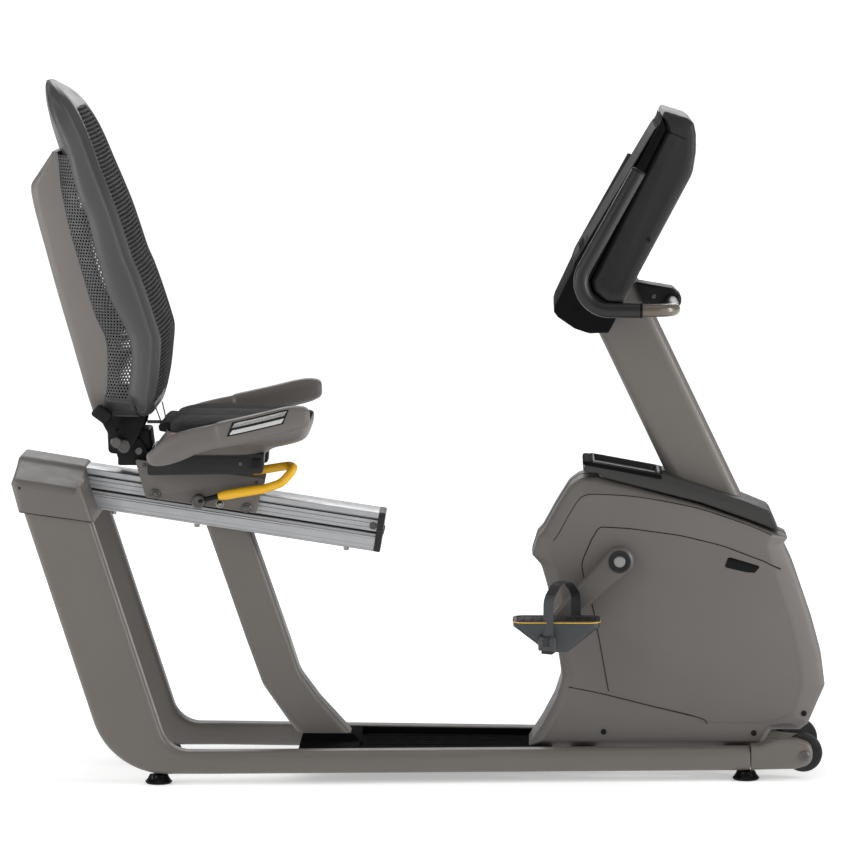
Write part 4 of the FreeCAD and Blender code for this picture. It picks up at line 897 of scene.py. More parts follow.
# cushion: a rounded slab blown up by a cloth simulation, held round its lower edge
def cushion():
    rows = []
    for dz, k in ((0, 0.80), (0.0, 0.93), (2, 0.975), (6, 0.995), (12, 1.0), (22, 1.0), (28, 0.99), (32, 0.965), (34.5, 0.92), (35.5, 0.82), (36, 0.6), (36, 0.3)):
        rows.append(superloop(-362.0, 134.0 * k if k > 0.9 else 134.0 * k, 193.0 * k if k > 0.9 else 193.0 * k, 684.0 + dz, 6.5, 72, -0.012))
    v, f = grid(rows, closed=True, cap=True)
    o = build("seat_cushion_pad", v, f, "fabric", "seat", "cushion_fabric", ("seat_cushion",), 60)
    rm = o.modifiers.new("remesh", "REMESH")
    rm.mode = "VOXEL"
    rm.voxel_size = 0.0055
    smooth_after(o, 180)
    start = [Vector(w.co) for w in o.data.vertices]
    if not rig.quick():
        held = o.vertex_groups.new(name="held")
        for i, c in enumerate(start):
            low = 1.0 if c.z < 0.693 else (0.0 if c.z > 0.703 else (0.703 - c.z) / 0.010)
            # the stitched channels stay down
            if c.z > 0.712:
                for line in (-0.075, 0.075):
                    d = abs(c.y - line)
                    if d < 0.009:
                        low = max(low, 0.55 * (1 - d / 0.009))
            if low > 0:
                held.add([i], low, "REPLACE")
        cl = o.modifiers.new("cloth", "CLOTH")
        st = cl.settings
        st.quality = 5
        st.mass = 0.3
        st.tension_stiffness = 18
        st.compression_stiffness = 18
        st.shear_stiffness = 6
        st.bending_stiffness = 0.6
        st.use_pressure = True
        st.uniform_pressure_force = 4.0
        st.vertex_group_mass = "held"
        st.effector_weights.gravity = 0.0
        cl.collision_settings.use_collision = False
        cl.point_cache.frame_start, cl.point_cache.frame_end = 1, 20
        sc = bpy.context.scene
        for fr in range(1, 21):
            sc.frame_set(fr)
        dg = bpy.context.evaluated_depsgraph_get()
        ev = o.evaluated_get(dg).to_mesh()
        moved = [Vector(w.co) for w in ev.vertices]
        o.evaluated_get(dg).to_mesh_clear()
        o.modifiers.clear()
        o.vertex_groups.clear()
        for i, w in enumerate(o.data.vertices):
            d = moved[i] - start[i]
            lim = 0.0055
            if d.length > lim:
                d *= lim / d.length
            w.co = start[i] + d
        sc.frame_set(1)
    subsurf(o, 1)
    smooth_after(o, 180)
    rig.padded(o, fill=0.6)
    return o


cushion()
tube("cushion_piping", [(x, y, z + 1.0) for x, y, z in superloop(-362.0, 135.2, 194.4, 690.0, 6.5, 96, -0.012)] * 1 + [(x, y, z + 1.0) for x, y, z in superloop(-362.0, 135.2, 194.4, 690.0, 6.5, 96, -0.012)][:2], 2.2, "fabric", "seat", "cushion_fabric", sides=10)

# pan: one moulding that rises round the cushion, highest at its nose
def pan_row(k, z, x0, x1, hy, power):
    n = 96
    out = []
    for p in superloop((x0 + x1) / 2, (x1 - x0) / 2, hy, z, power, n):
        out.append(p)
    return out


rows = [pan_row(0, 640.0, -500, -330, 100, 5), pan_row(0, 646.5, -522, -306, 122, 5), pan_row(0, 651.0, -528, -299, 130, 5), pan_row(0, 658.0, -528, -292, 139, 5), pan_row(0, 665.0, -525, -268, 156, 5), pan_row(0, 671.0, -520, -244, 174, 5.2), pan_row(0, 677.5, -514, -228, 189, 5.6), pan_row(0, 685.0, -508, -221.5, 199, 6), pan_row(0, 692.0, -504, -219.2, 202.5, 6.4), pan_row(0, 697.0, -502.5, -218.4, 203, 6.6)]


def lift(p, amount):
    s = max(0.0, min(1.0, (p[0] + 330.0) / 100.0))
    return (p[0], p[1], p[2] + amount * s * s * (3 - 2 * s))


top = rows[-1]
rows[-2] = [lift(p, 5.0) for p in rows[-2]]
rows[-1] = [lift(p, 9.0) for p in top]
rows.append([lift((-362 + (p[0] + 362) * 0.992, p[1] * 0.995, p[2] + 2.0), 10.0) for p in top])
rows.append([lift((-362 + (p[0] + 362) * 0.975, p[1] * 0.986, p[2] + 1.6), 10.0) for p in top])
rows.append([lift((-362 + (p[0] + 362) * 0.965, p[1] * 0.98, p[2] - 6), 6.0) for p in top])
rows.append([lift((-362 + (p[0] + 362) * 0.94, p[1] * 0.95, p[2] - 12), 2.0) for p in top])
v, f = grid(rows, closed=True, cap=True)
o = build("seat_pan_shell", v, f, "body", "seat", "body_plastic", ("seat_pan",), 60)
subsurf(o, 1)
smooth_after(o, 50)

# raised rear pad behind the cushion
o = plate("seat_rear_pad", [(-517.0, 694.0, 5), (-519.0, 705.0, 5), (-509.0, 712.5, 6), (-494.0, 712.0, 6), (-490.0, 700.0, 5), (-492.0, 690.0, 4)], -120.0, 120.0, "fabric", "seat", "cushion_fabric", edge=4.0, seg=4)

# base box: a cap over the rail and a skirt each side
ch = [(-540.0, 646.0), (-540.0, 625.0), (-309.6, 622.0), (-309.0, 646.0)]
plate("seat_base_cap", [(-540.0, 631.0, 2), (-540.0, 651.0, 3), (-309.0, 651.0, 3), (-309.3, 643.0, 1), (-352.0, 643.0, 1), (-353.0, 646.0, 2), (-372.0, 646.0, 2), (-373.0, 628.0, 2)], -119.0, 119.0, "dark", "seat", "black_plastic", edge=1.6, replaces=("seat_base",))
for sd, sg in SIDES:
    y0, y1 = sorted((sg * 78.0, sg * 121.0))
    plate("seat_base_skirt_" + sd, [(-540.5, 606.0, 6), (-540.5, 650.4, 3), (-308.6, 650.4, 3), (-311.6, 610.0, 7)], y0, y1, "dark", "seat", "black_plastic", edge=2.5, seg=4)
    # pressed panel and the small fitting at the front
    y0, y1 = sorted((sg * 120.5, sg * 122.0))
    plate("seat_base_panel_" + sd, [(-531.0, 613.5, 5), (-531.0, 643.0, 4), (-338.0, 643.0, 4), (-340.0, 616.5, 5)], y0, y1, "dark", "seat", "black_plastic", edge=0.9)
    y0, y1 = sorted((sg * 119.0, sg * 126.0))
    plate("seat_base_latch_" + sd, [(-333.0, 620.0, 3), (-333.0, 640.0, 3), (-314.0, 640.0, 3), (-316.0, 622.0, 4)], y0, y1, "black", "seat", "black_plastic", edge=1.5)
    screw("seat_base_screw_a_" + sd, -519.0, sg * 122.0, 628.0, sg, 4.2, "seat", h=2.2)
    screw("seat_base_screw_b_" + sd, -356.0, sg * 122.0, 630.0, sg, 4.2, "seat", h=2.2)

# side handles: tapered tail, a step, then the wider flat-topped grip
HAND_SEC = [(-529.0, 660.5, 5.0, 9.0), (-526.5, 659.5, 10.0, 13.0), (-520.0, 659.5, 14.5, 16.5), (-510.0, 661.5, 18.5, 19.0), (-496.0, 668.5, 23.0, 20.5), (-480.0, 676.0, 26.0, 21.0), (-463.0, 682.8, 27.2, 21.0), (-445.0, 689.5, 25.0, 20.5), (-425.0, 695.8, 23.8, 20.0), (-400.0, 701.2, 23.2, 20.0), (-389.0, 703.6, 23.2, 20.2), (-386.5, 704.4, 24.6, 23.6), (-382.0, 705.6, 25.0, 24.0), (-350.0, 712.0, 25.3, 24.0), (-316.0, 719.8, 25.2, 24.0), (-285.0, 727.2, 25.2, 24.0), (-257.0, 734.2, 25.4, 24.0), (-238.0, 738.2, 24.2, 24.0), (-225.0, 740.0, 22.0, 23.2), (-217.0, 741.0, 19.0, 21.4), (-212.5, 741.2, 14.5, 17.5), (-210.8, 741.2, 9.0, 11.5)]
for sd, sg in SIDES:
    rows = []
    for x, z, h, w in HAND_SEC:
        grip = 1.0 if x > -387 else 0.0
        row = []
        for k in range(40):
            a = 2 * math.pi * k / 40
            c, s = math.cos(a), math.sin(a)
            p = 3.6 if (grip and s > 0) else 2.5
            yy = w * math.copysign(abs(c) ** (2 / p), c)
            zz = h * math.copysign(abs(s) ** (2 / p), s)
            row.append((x - zz * 0.22 * (1 if abs(x + 370) < 140 else 0.2), sg * 298.0 + yy, z + zz))
        rows.append(row)
    v, f = grid(rows, closed=True, cap=True)
    o = build("seat_handle_grip_" + sd, v, f, "body", "seat", "body_plastic", ("seat_handles",), 40)
    subsurf(o, 1)
    smooth_after(o, 45)
    path = bent([(-495.0, sg * 290.0, 668.0), (-497.0, sg * 235.0, 664.0), (-499.0, sg * 190.0, 657.5), (-499.0, sg * 131.0, 657.0)], [30.0, 40.0])
    tube("seat_handle_bracket_" + sd, path, 13.0, "paint", "seat", "body_plastic", sides=24, flat=0.62)
    # pulse contacts: two slanted plates on a dark inlay, wrapped on the upper outer face
    for k, (x0, run, za, zb, off, mat) in enumerate(((-366.0, 101.0, -0.05, 0.25, 0.9, "contact"), (-358.5, 101.0, 0.43, 0.73, 0.9, "contact"), (-372.0, 110.0, -0.15, 0.83, 0.25, "black"))):
        cells, n1, n2 = [], 26, 8
        slant = 7.0 if k < 2 else 16.0
        for i in range(n1 + 1):
            row = []
            for j in range(n2 + 1):
                u, w2 = i / n1, j / n2
                x = x0 + run * u + slant * w2
                zc = lerp([(a, b) for a, b, _, _ in HAND_SEC], x)
                hh = lerp([(a, c) for a, _, c, _ in HAND_SEC], x)
                zz = za + (zb - za) * w2
                p = 3.6 if zz > 0 else 2.5
                yy = 24.0 * (max(0.0, 1 - abs(zz) ** p)) ** (1 / p)
                row.append((x - zz * hh * 0.22, sg * (298.0 + yy + off), zc + zz * hh))
            cells.append(row)
        v, f = grid(cells)
        o = build("pulse_contact_%d_%s" % (k, sd), v, f, mat, "seat", "contact_steel" if k < 2 else "black_plastic", ("pulse_contacts",) if k == 0 else (), 50)
        solidify(o, 1.0 if k < 2 else 0.5, 0.0)
        smooth_after(o, 50)
        if k < 2:
            bevel(o, 0.3, 2)

# carriage: side plates with rounded edges, bolts, pivot and acorn nut
refine("seat_carriage", "paint", "seat", "frame_paint", 1.0, 3)
for sd, sg in SIDES:
    for i, (x, z) in enumerate(((-528.0, 564.0), (-346.6, 536.5))):
        turned("carriage_cap_%d_%s" % (i, sd), [(9.5, 0), (9.5, 1.2), (8.6, 2.0), (6.5, 2.0), (6.2, 3.4), (5.0, 4.6), (0.01, 5.0)], (x, sg * 80.0, z), (0, sg, 0), "dark_steel", "seat", "steel", n=32)
    turned("acorn_nut_" + sd, [(8.2, 0), (8.2, 1.4), (6.4, 1.6), (6.2, 5.0), (5.6, 7.4), (4.2, 9.6), (2.2, 10.9), (0.01, 11.3)], (-399.9, sg * 75.0, 544.6), (0, sg, 0), "steel", "seat", "steel", n=32)
    for i, x in enumerate((-556.0, -326.0)):
        screw("carriage_screw_%d_%s" % (i, sd), x + (6 if i == 0 else 0), sg * 75.0, 622.0 - (x + 556) * 0.153, sg, 4.0, "seat", h=2.4)
for nm, u in (("rear", -160.3), ("front", 23.2)):
    cc, ss = math.cos(math.radians(SLOPE)), math.sin(math.radians(SLOPE))
    x, z = -377.0 + u * cc + 49.5 * ss, 490.9 - u * ss + 49.5 * cc
    first = True
    for sd, sg in SIDES:
        turned("roller_%s_%s" % (nm, sd), [(5.0, 0), (12.6, 0), (14.0, 1.2), (14.0, 8.2), (12.6, 9.4), (8.0, 9.4), (7.0, 7.6), (5.0, 7.6)], (x, sg * 44.3, z), (0, sg, 0), "black", "rollers_" + nm, "black_plastic", n=40, replaces=("seat_rollers_" + nm,) if first else ())
        turned("roller_pin_%s_%s" % (nm, sd), [(5.0, 0), (5.0, 25.0)], (x, sg * 53.0, z), (0, sg, 0), "steel", "rollers_" + nm, "steel", n=24)
        first = False

# recline bracket with its bosses, arms and release knob
refine("recline_bracket", "black", "seat", "frame_paint", 1.4, 3)
refine("back_arms", "black", "back", "frame_paint", 1.2, 3)
for sd, sg in SIDES:
    turned("recline_boss_" + sd, [(14.0, 0), (14.0, 3.0), (12.5, 4.4), (8.0, 4.6), (7.6, 3.0), (0.01, 3.0)], (-591.4, sg * 65.2, 658.7), (0, sg, 0), "dark_steel", "seat", "steel", n=36)
    turned("recline_boss_small_" + sd, [(8.0, 0), (8.0, 2.6), (6.8, 3.8), (0.01, 4.0)], (-562.0, sg * 54.2, 648.0), (0, sg, 0), "dark_steel", "seat", "steel", n=28)
plate("recline_release_arm", [(-604.0, 662.0, 8), (-592.0, 668.0, 8), (-604.0, 700.0, 14), (-612.0, 722.0, 4), (-630.0, 712.0, 4), (-618.0, 690.0, 14)], -126.5, -117.5, "black", "recline_release", "black_plastic", edge=1.5, replaces=("recline_lever",))
o = plate("recline_release_knob", [(-652.0, 731.0, 7), (-634.0, 749.5, 7), (-605.0, 729.0, 7), (-622.0, 709.0, 7)], -152.0, -126.0, "black", "recline_release", "black_plastic", edge=4.0, seg=4)
for k in range(5):
    t = (k + 1) / 6
    plate("recline_knob_rib_%d" % k, [(-650.0 + 24 * t - 1.2, 733.0 - 18 * t * 1.1, 0.5), (-632 + 24 * t, 750.5 - 17 * t, 0.5), (-630.6 + 24 * t, 749.3 - 17 * t, 0.5), (-648.6 + 24 * t, 731.8 - 18 * t * 1.1, 0.5)], -150.6, -128.0, "black", "recline_release", "black_plastic", edge=0.3, seg=1)
turned("recline_release_pin", [(8.0, 0), (8.0, 60.0)], (-602.0, -66.0, 672.0), (0, -1, 0), "dark_steel", "recline_release", "steel", n=32)
turned("recline_release_head", [(11.0, 0), (11.0, 3.0), (9.5, 4.5), (0.01, 4.8)], (-602.0, -126.6, 672.0), (0, -1, 0), "dark_steel", "recline_release", "steel", n=32)

# two springs between the back's foot and a bar at the rear of the seat
turned("spring_bar", [(3.2, -32.0), (3.4, -31.0), (3.4, 31.0), (3.2, 32.0)], (-515.0, -30.0, 704.0), (1, 0, 0), "dark_steel", "seat", "steel", n=16)
for i, (a, b) in enumerate((((-530.0, -35.6, 735.0), (-518.0, -35.6, 702.0)), ((-516.5, -35.6, 745.0), (-507.0, -35.6, 702.0)))):
    tube("back_stay_%d" % i, [a, ((a[0] + b[0]) / 2, -35.6, (a[2] + b[2]) / 2), b], 1.4, "dark_steel", "back", "steel", sides=10)

# yellow lever: black rod from the pivot, thick grip, loop back inside
turned("lever_pivot", [(14.0, -12.0), (14.0, 9.0), (12.4, 11.4), (9.0, 12.0), (8.4, 10.2), (0.01, 10.2)], (-440.7, -93.0, 551.7), (0, -1, 0), "dark_steel", "lever", "steel", n=40, replaces=("seat_lever",))
turned("lever_pivot_pin", [(7.0, 0), (7.0, 6.2)], (-440.7, -81.3, 551.7), (0, 1, 0), "steel", "lever", "steel", n=24)
tube("lever_rod", [(-441.0, -100, 552.0), (-420.0, -100, 558.0), (-402.0, -100, 562.8), (-386.0, -100, 566.0)], 5.0, "black", "lever", "steel", sides=18, flat=1.0)
path = bent([(-402.0, -100, 562.2), (-352.0, -100, 571.0), (-312.0, -100, 577.0), (-276.0, -100, 589.0), (-249.0, -97, 619.0), (-262.0, -50, 619.0), (-336.0, -50, 607.0)], [60.0, 60.0, 34.0, 16.0, 16.0], 10)
cum = [0.0]
for a, b in zip(path, path[1:]):
    cum.append(cum[-1] + (b - a).length)
path2, rad = [], []
for k in range(73):
    d = cum[-1] * k / 72
    i = max(j for j in range(len(cum)) if cum[j] <= d + 1e-6)
    i = min(i, len(path) - 2)
    t = (d - cum[i]) / (cum[i + 1] - cum[i])
    path2.append(path[i].lerp(path[i + 1], t))
    rad.append(7.6 if d < 4 else (7.6 + 2.0 * (d - 4) / 10 if d < 14 else (9.6 if d < 60 else (9.6 - 1.0 * (d - 60) / 40 if d < 100 else 8.6))))
tube("lever_grip_tube", path2, rad, "yellow", "lever", "lever_yellow", sides=28, round_ends=3.0, replaces=("lever_grip",))


# ================================================================ console, mast and handlebar
HOUSE_O = [(333.4, 999.5, 3), (481.8, 1294.1, 3), (474.0, 1321.0, 3), (479.0, 1330.5, 4), (524.0, 1316.5, 10), (536.0, 1307.0, 10), (540.5, 1284.0, 14), (540.5, 1250.0, 60), (534.0, 1208.0, 60), (427.8, 1007.7, 6), (400.3, 955.4, 6), (366.0, 957.0, 14), (340.0, 976.6, 14)]
HOUSE_I = [(388.0, 1003.0, 8), (503.0, 1272.0, 30), (501.0, 1288.0, 5), (504.0, 1296.0, 6), (512.0, 1297.0, 8), (518.0, 1290.0, 8), (522.0, 1276.0, 14), (521.0, 1248.0, 60), (514.0, 1214.0, 60), (411.0, 1012.0, 8), (397.0, 981.0, 5), (389.0, 981.0, 4), (385.0, 990.0, 5)]
for sd, sg in SIDES:
    st = [(0.0, 0.0), (0.0, 168.0), (0.02, 173.0), (0.10, 178.0), (0.26, 181.6), (0.55, 184.2), (0.86, 185.6), (1.0, 185.9), (1.12, 185.6)]
    skin("console_housing_" + sd, HOUSE_O, HOUSE_I, st, "dark", "frame", "dark_plastic", ("console_housing",) if sg < 0 else (), sg, 34, True, 6)
    # parting line of the top cap and the lower pod
    groove("console_cap_seam_" + sd, [(481.0, sg * 150, 1289.0), (481.8, sg * 176.0, 1289.5), (486.0, sg * 184.8, 1288.8), (500.0, sg * 186.1, 1284.5), (518.0, sg * 185.6, 1276.5), (531.0, sg * 183.5, 1270.0), (538.0, sg * 178.6, 1266.0), (541.0, sg * 166.0, 1264.0)], 0.8, "frame")
    screw("console_screw_" + sd, 449.0, sg * 185.6, 1079.0, sg, 5.0, "frame", mat="black", h=1.8)
refine("console_bezel", "bezel", "frame", "dark_plastic", 4.5, 4, 1.2, 28.0, shade=40)
for sd, sg in SIDES:
    groove("console_pod_seam_" + sd, [(264.0, sg * 96.0, 932.5), (268.0, sg * 120.0, 932.5), (278.0, sg * 150.0, 933.0), (300.0, sg * 172.0, 935.0), (330.0, sg * 184.0, 942.0), (352.0, sg * 190.0, 950.0), (378.0, sg * 190.0, 957.0)], 0.9, "frame")

# screen: gloss panel in a thin frame, with a display area and a row of keys
ang = math.atan2(1309.5 - 1025.0, 471.0 - 302.5)
SCR = Matrix.Translation(Vector((386.75, 0, 1167.25)) * K) @ Matrix.Rotation(-ang, 4, "Y")


def on_screen(name, cx, cy, hx, hy, r, z0, z1, mat, slot, edge=0.6, replaces=(), seg=3):
    pts = [(cx - hx, cy - hy, r), (cx + hx, cy - hy, r), (cx + hx, cy + hy, r), (cx - hx, cy + hy, r)]
    return plate(name, pts, z0, z1, mat, "frame", slot, "xy", edge, seg, replaces, SCR)


on_screen("console_screen_frame", -6.0, 0.0, 161.0, 181.0, 12, -1.0, 1.6, "bezel", "dark_plastic", 0.8)
on_screen("console_screen_glass", -7.0, 0.0, 156.0, 175.5, 9, 0.5, 2.6, "screen", "glass_screen", 0.7, ("console_screen",))
on_screen("console_display", 14.0, 0.0, 118.0, 150.0, 3, 2.0, 2.75, "display", "glass_screen", 0.15, (), 1)
for i in range(5):
    on_screen("console_key_%d" % i, -128.0, -96.0 + 48.0 * i, 9.0, 16.0, 6, 2.0, 3.6, "bezel", "dark_plastic", 0.7)

# mast and post, smooth shaded
refine("console_mast", "paint", "frame", "frame_paint", 0.0, shade=28)
refine("centre_post", "paint", "frame", "frame_paint", 0.0, shade=28)

# handlebar and its foam grips
bar_path = bent([(GX0, -280, GZ0), (GX1, -280, GZ1), (497.0, -280, GZ1), (497.0, 280, GZ1), (GX1, 280, GZ1), (GX0, 280, GZ0)], [56.0, 40.0, 40.0, 56.0], 12)
tube("handlebar_tube", bar_path, 12.45, "bar", "frame", "frame_paint", sides=32, replaces=("handlebar",))
for sd, sg in SIDES:
    ux, uz = (GX0 - GX1) / math.hypot(GX0 - GX1, GZ0 - GZ1), (GZ0 - GZ1) / math.hypot(GX0 - GX1, GZ0 - GZ1)
    gp = bent([(GX0 + 3.6 * ux, sg * 280, GZ0 + 3.6 * uz), (GX1, sg * 280, GZ1), (432.0, sg * 280, GZ1)], [56.0], 16)
    tube("handlebar_foam_" + sd, gp, 14.4, "foam", "frame", "foam", sides=40, round_ends=2.6, replaces=("handlebar_grips",))
    turned("handlebar_end_" + sd, [(13.4, -3.0), (14.6, -2.4), (14.7, 0.6), (14.2, 1.4), (11.0, 3.0), (0.01, 3.4)], (GX0 + 1.4 * ux, sg * 280, GZ0 + 1.4 * uz), (ux, 0, uz), "black", "frame", "black_plastic", n=36)
    turned("handlebar_ring_" + sd, [(12.6, -2.0), (14.9, -2.0), (14.9, 2.0), (12.6, 2.0)], (433.0, sg * 280, GZ1), (1, 0, 0), "gloss", "frame", "black_plastic", n=36)
refine("handlebar_clamp", "black", "frame", "dark_plastic", 2.5, 3)
for sd, sg in SIDES:
    screw("clamp_screw_" + sd, 462.0, sg * 46.0, 958.0, sg, 5.0, "frame", h=2.6)


# ================================================================ shroud, side panels and tray
SH_O = [(214.0, 58.0, 3), (243.5, 104.0, 60), (268.0, 150.0, 60), (282.5, 195.0, 60), (256.4, 366.0, 300), (240.0, 423.0, 30), (221.5, 443.0, 4), (233.0, 480.0, 16), (244.3, 492.0, 16), (270.0, 539.0, 80), (297.0, 583.0, 30), (318.0, 598.0, 20), (352.0, 600.0, 20), (442.0, 577.0, 200), (556.0, 546.0, 200), (655.0, 511.0, 200), (731.0, 479.0, 3), (722.5, 468.0, 4), (742.0, 426.0, 60), (778.5, 320.0, 300), (797.5, 250.0, 200), (806.0, 183.0, 14), (773.0, 106.0, 12), (757.0, 93.5, 4), (700.0, 93.5, 10), (676.0, 58.0, 3)]
SH_I = [(240.0, 70.0, 4), (266.0, 110.0, 60), (290.0, 152.0, 60), (305.0, 197.0, 60), (281.0, 368.0, 300), (268.0, 420.0, 40), (257.0, 442.0, 12), (264.0, 474.0, 20), (274.0, 488.0, 20), (296.0, 528.0, 80), (313.0, 555.0, 30), (326.0, 564.5, 20), (352.0, 567.0, 30), (438.0, 561.0, 200), (550.0, 539.5, 200), (648.0, 507.0, 200), (697.0, 486.0, 10), (688.0, 462.0, 10), (702.0, 419.0, 60), (736.0, 314.0, 300), (754.0, 247.0, 200), (762.0, 185.0, 20), (745.0, 124.0, 14), (734.0, 108.0, 8), (694.0, 104.0, 10), (670.0, 72.0, 5)]
PANEL_P = [(374.6, 172.0, 10), (354.3, 284.0, 200), (342.4, 343.0, 200), (325.0, 400.0, 60), (319.0, 428.0, 40), (340.0, 477.0, 30), (355.0, 502.0, 14), (413.0, 499.0, 200), (516.5, 485.0, 300), (600.0, 465.0, 300), (660.0, 442.0, 300), (692.0, 430.0, 16), (728.0, 316.0, 300), (746.0, 248.0, 200), (753.0, 187.0, 30), (738.0, 128.0, 24), (692.0, 110.0, 24), (571.0, 110.0, 20), (548.0, 123.0, 60)]
for sd, sg in SIDES:
    st = [(0.0, 0.3), (0.0, 62.0), (0.015, 66.0), (0.06, 70.0), (0.15, 73.5), (0.30, 77.0), (0.60, 82.6), (0.86, 87.0), (0.93, 88.1), (1.0, 88.9), (1.08, 89.4), (1.22, 89.9)]
    skin("shroud_half_" + sd, SH_O, SH_I, st, "body", "frame", "body_plastic", ("shroud_" + sd,), sg, 32, True, 6)
    y0, y1 = sorted((sg * 88.5, sg * 90.6))
    plate("side_panel_plate_" + sd, PANEL_P, y0, y1, "body", "frame", "body_plastic", edge=0.6, seg=3, replaces=("side_panel_" + sd,))
    lp = corner_loop(PANEL_P, 6)
    k0 = min(range(len(lp)), key=lambda i: (lp[i][0] - 374.6) ** 2 + (lp[i][1] - 172.0) ** 2)
    k1 = min(range(len(lp)), key=lambda i: (lp[i][0] - 692.0) ** 2 + (lp[i][1] - 430.0) ** 2)
    groove("side_panel_seam_" + sd, [(x, sg * 90.0, z) for x, z in lp[k0:k1 + 1]] + [(716.0, sg * 86.6, 418.0)], 1.1, "frame")
    # thin dark line along the crease at the edge of the side band: painted shade in the crease
    groove("shroud_crease_" + sd, [(q.x, q.y, q.z) for q in spline([(x, sg * 88.9, z) for x, z, _ in SH_I[7:17]], 5)], 0.75, "frame")
    sk = spline([(294.7, sg * 89.4, 180.6), (335.0, sg * 90.0, 173.0), (373.6, sg * 90.2, 164.6), (460.0, sg * 90.6, 143.0), (556.0, sg * 90.6, 119.5), (571.0, sg * 90.4, 108.0)], 5)
    groove("shroud_skirt_seam_" + sd, sk, 0.9, "frame")
    for i, (x, z) in enumerate(((365.0, 91.0), (664.0, 89.4), (764.0, 128.0))):
        screw("shroud_screw_%d_%s" % (i, sd), x, sg * (89.4 if i != 2 else 84.0), z, sg, 6.0 if i != 2 else 5.5, "frame", mat="black", h=1.8)
    y0, y1 = sorted((sg * 90.2, sg * 91.5))
    plate("shroud_badge_" + sd, [(604.0, 422.0, 4), (610.5, 441.0, 4), (616.0, 441.6, 3), (675.0, 424.0, 3), (664.0, 411.0, 3), (648.0, 412.0, 6)], y0, y1, "gloss", "frame", "black_plastic", edge=0.5)
    # collar round the crank axle
    turned("crank_collar_" + sd, [(27.0, -2.0), (27.0, 1.4), (25.6, 2.6), (12.0, 2.8), (11.0, -2.0)], (394.9, sg * 90.2, 437.8), (0, sg, 0), "body", "frame", "body_plastic", n=56)
# the joint of the two halves
groove("shroud_centre_seam", [(x, 0.0, z) for x, z in corner_loop(SH_O, 4)[28:86]], 1.1, "frame")

# tray: dark body with a dish, and a dark rim lying on it
o = refine("top_tray", "tray_dark", "frame", "black_plastic", 2.0, 3)
for w in o.data.vertices:
    # the rear of the tray is thinner: its top comes down further than its bottom
    t = max(0.0, min(1.0, (0.490 - w.co.x) / 0.160))
    base = 0.620 - (w.co.x - 0.330) * 0.27
    w.co.z -= t * (0.003 + 0.012 * max(0.0, min(1.0, (w.co.z - base + 0.012) / 0.024)))
TR = Matrix.Translation(Vector((338.0, 0, 633.6)) * K) @ Matrix.Rotation(math.radians(10.3), 4, "Y")


def tray_ring(name, x0, x1, hy, r, rad, z, mat):
    lp = rounded([(x0, -hy, r), (x1, -hy, r), (x1, hy, r), (x0, hy, r)], 8)
    path = [TR @ (Vector((x, y, z)) * K) / K for x, y in lp]
    return tube(name, path + path[:2], rad, mat, "frame", "black_plastic", sides=14)


tray_ring("tray_rim", 2.0, 143.0, 78.5, 14, 4.2, -6.0 + 1.2, "bezel")
pts = rounded([(-13.0, -84.0, 12), (152.0, -84.0, 14), (152.0, 84.0, 14), (-13.0, 84.0, 12)], 6)
outer, inner = corner_loop([(-14.0, -84.6, 14), (152.0, -84.6, 14), (152.0, 84.6, 14), (-14.0, 84.6, 14)], 8), corner_loop([(4.0, -77.0, 12), (141.0, -77.0, 12), (141.0, 77.0, 12), (4.0, 77.0, 12)], 8)
rows = []
for t, z in ((0.0, -11.0), (0.0, -6.0), (0.06, -4.2), (0.2, -3.2), (0.5, -2.8), (0.8, -3.2), (0.95, -4.4), (1.0, -7.0)):
    rows.append([(p[0] + (q[0] - p[0]) * t, p[1] + (q[1] - p[1]) * t, z) for p, q in zip(outer, inner)])
v, f = grid(rows, closed=True)
o = build("tray_lip", v, f, "bezel", "frame", "black_plastic", (), 40, TR)
plate("tray_bracket", [(351.0, 610.0, 3), (356.0, 600.0, 3), (423.0, 583.0, 3), (430.0, 590.0, 3), (423.0, 597.0, 3), (372.0, 611.0, 4)], -70.0, 70.0, "body", "frame", "body_plastic", edge=1.6)


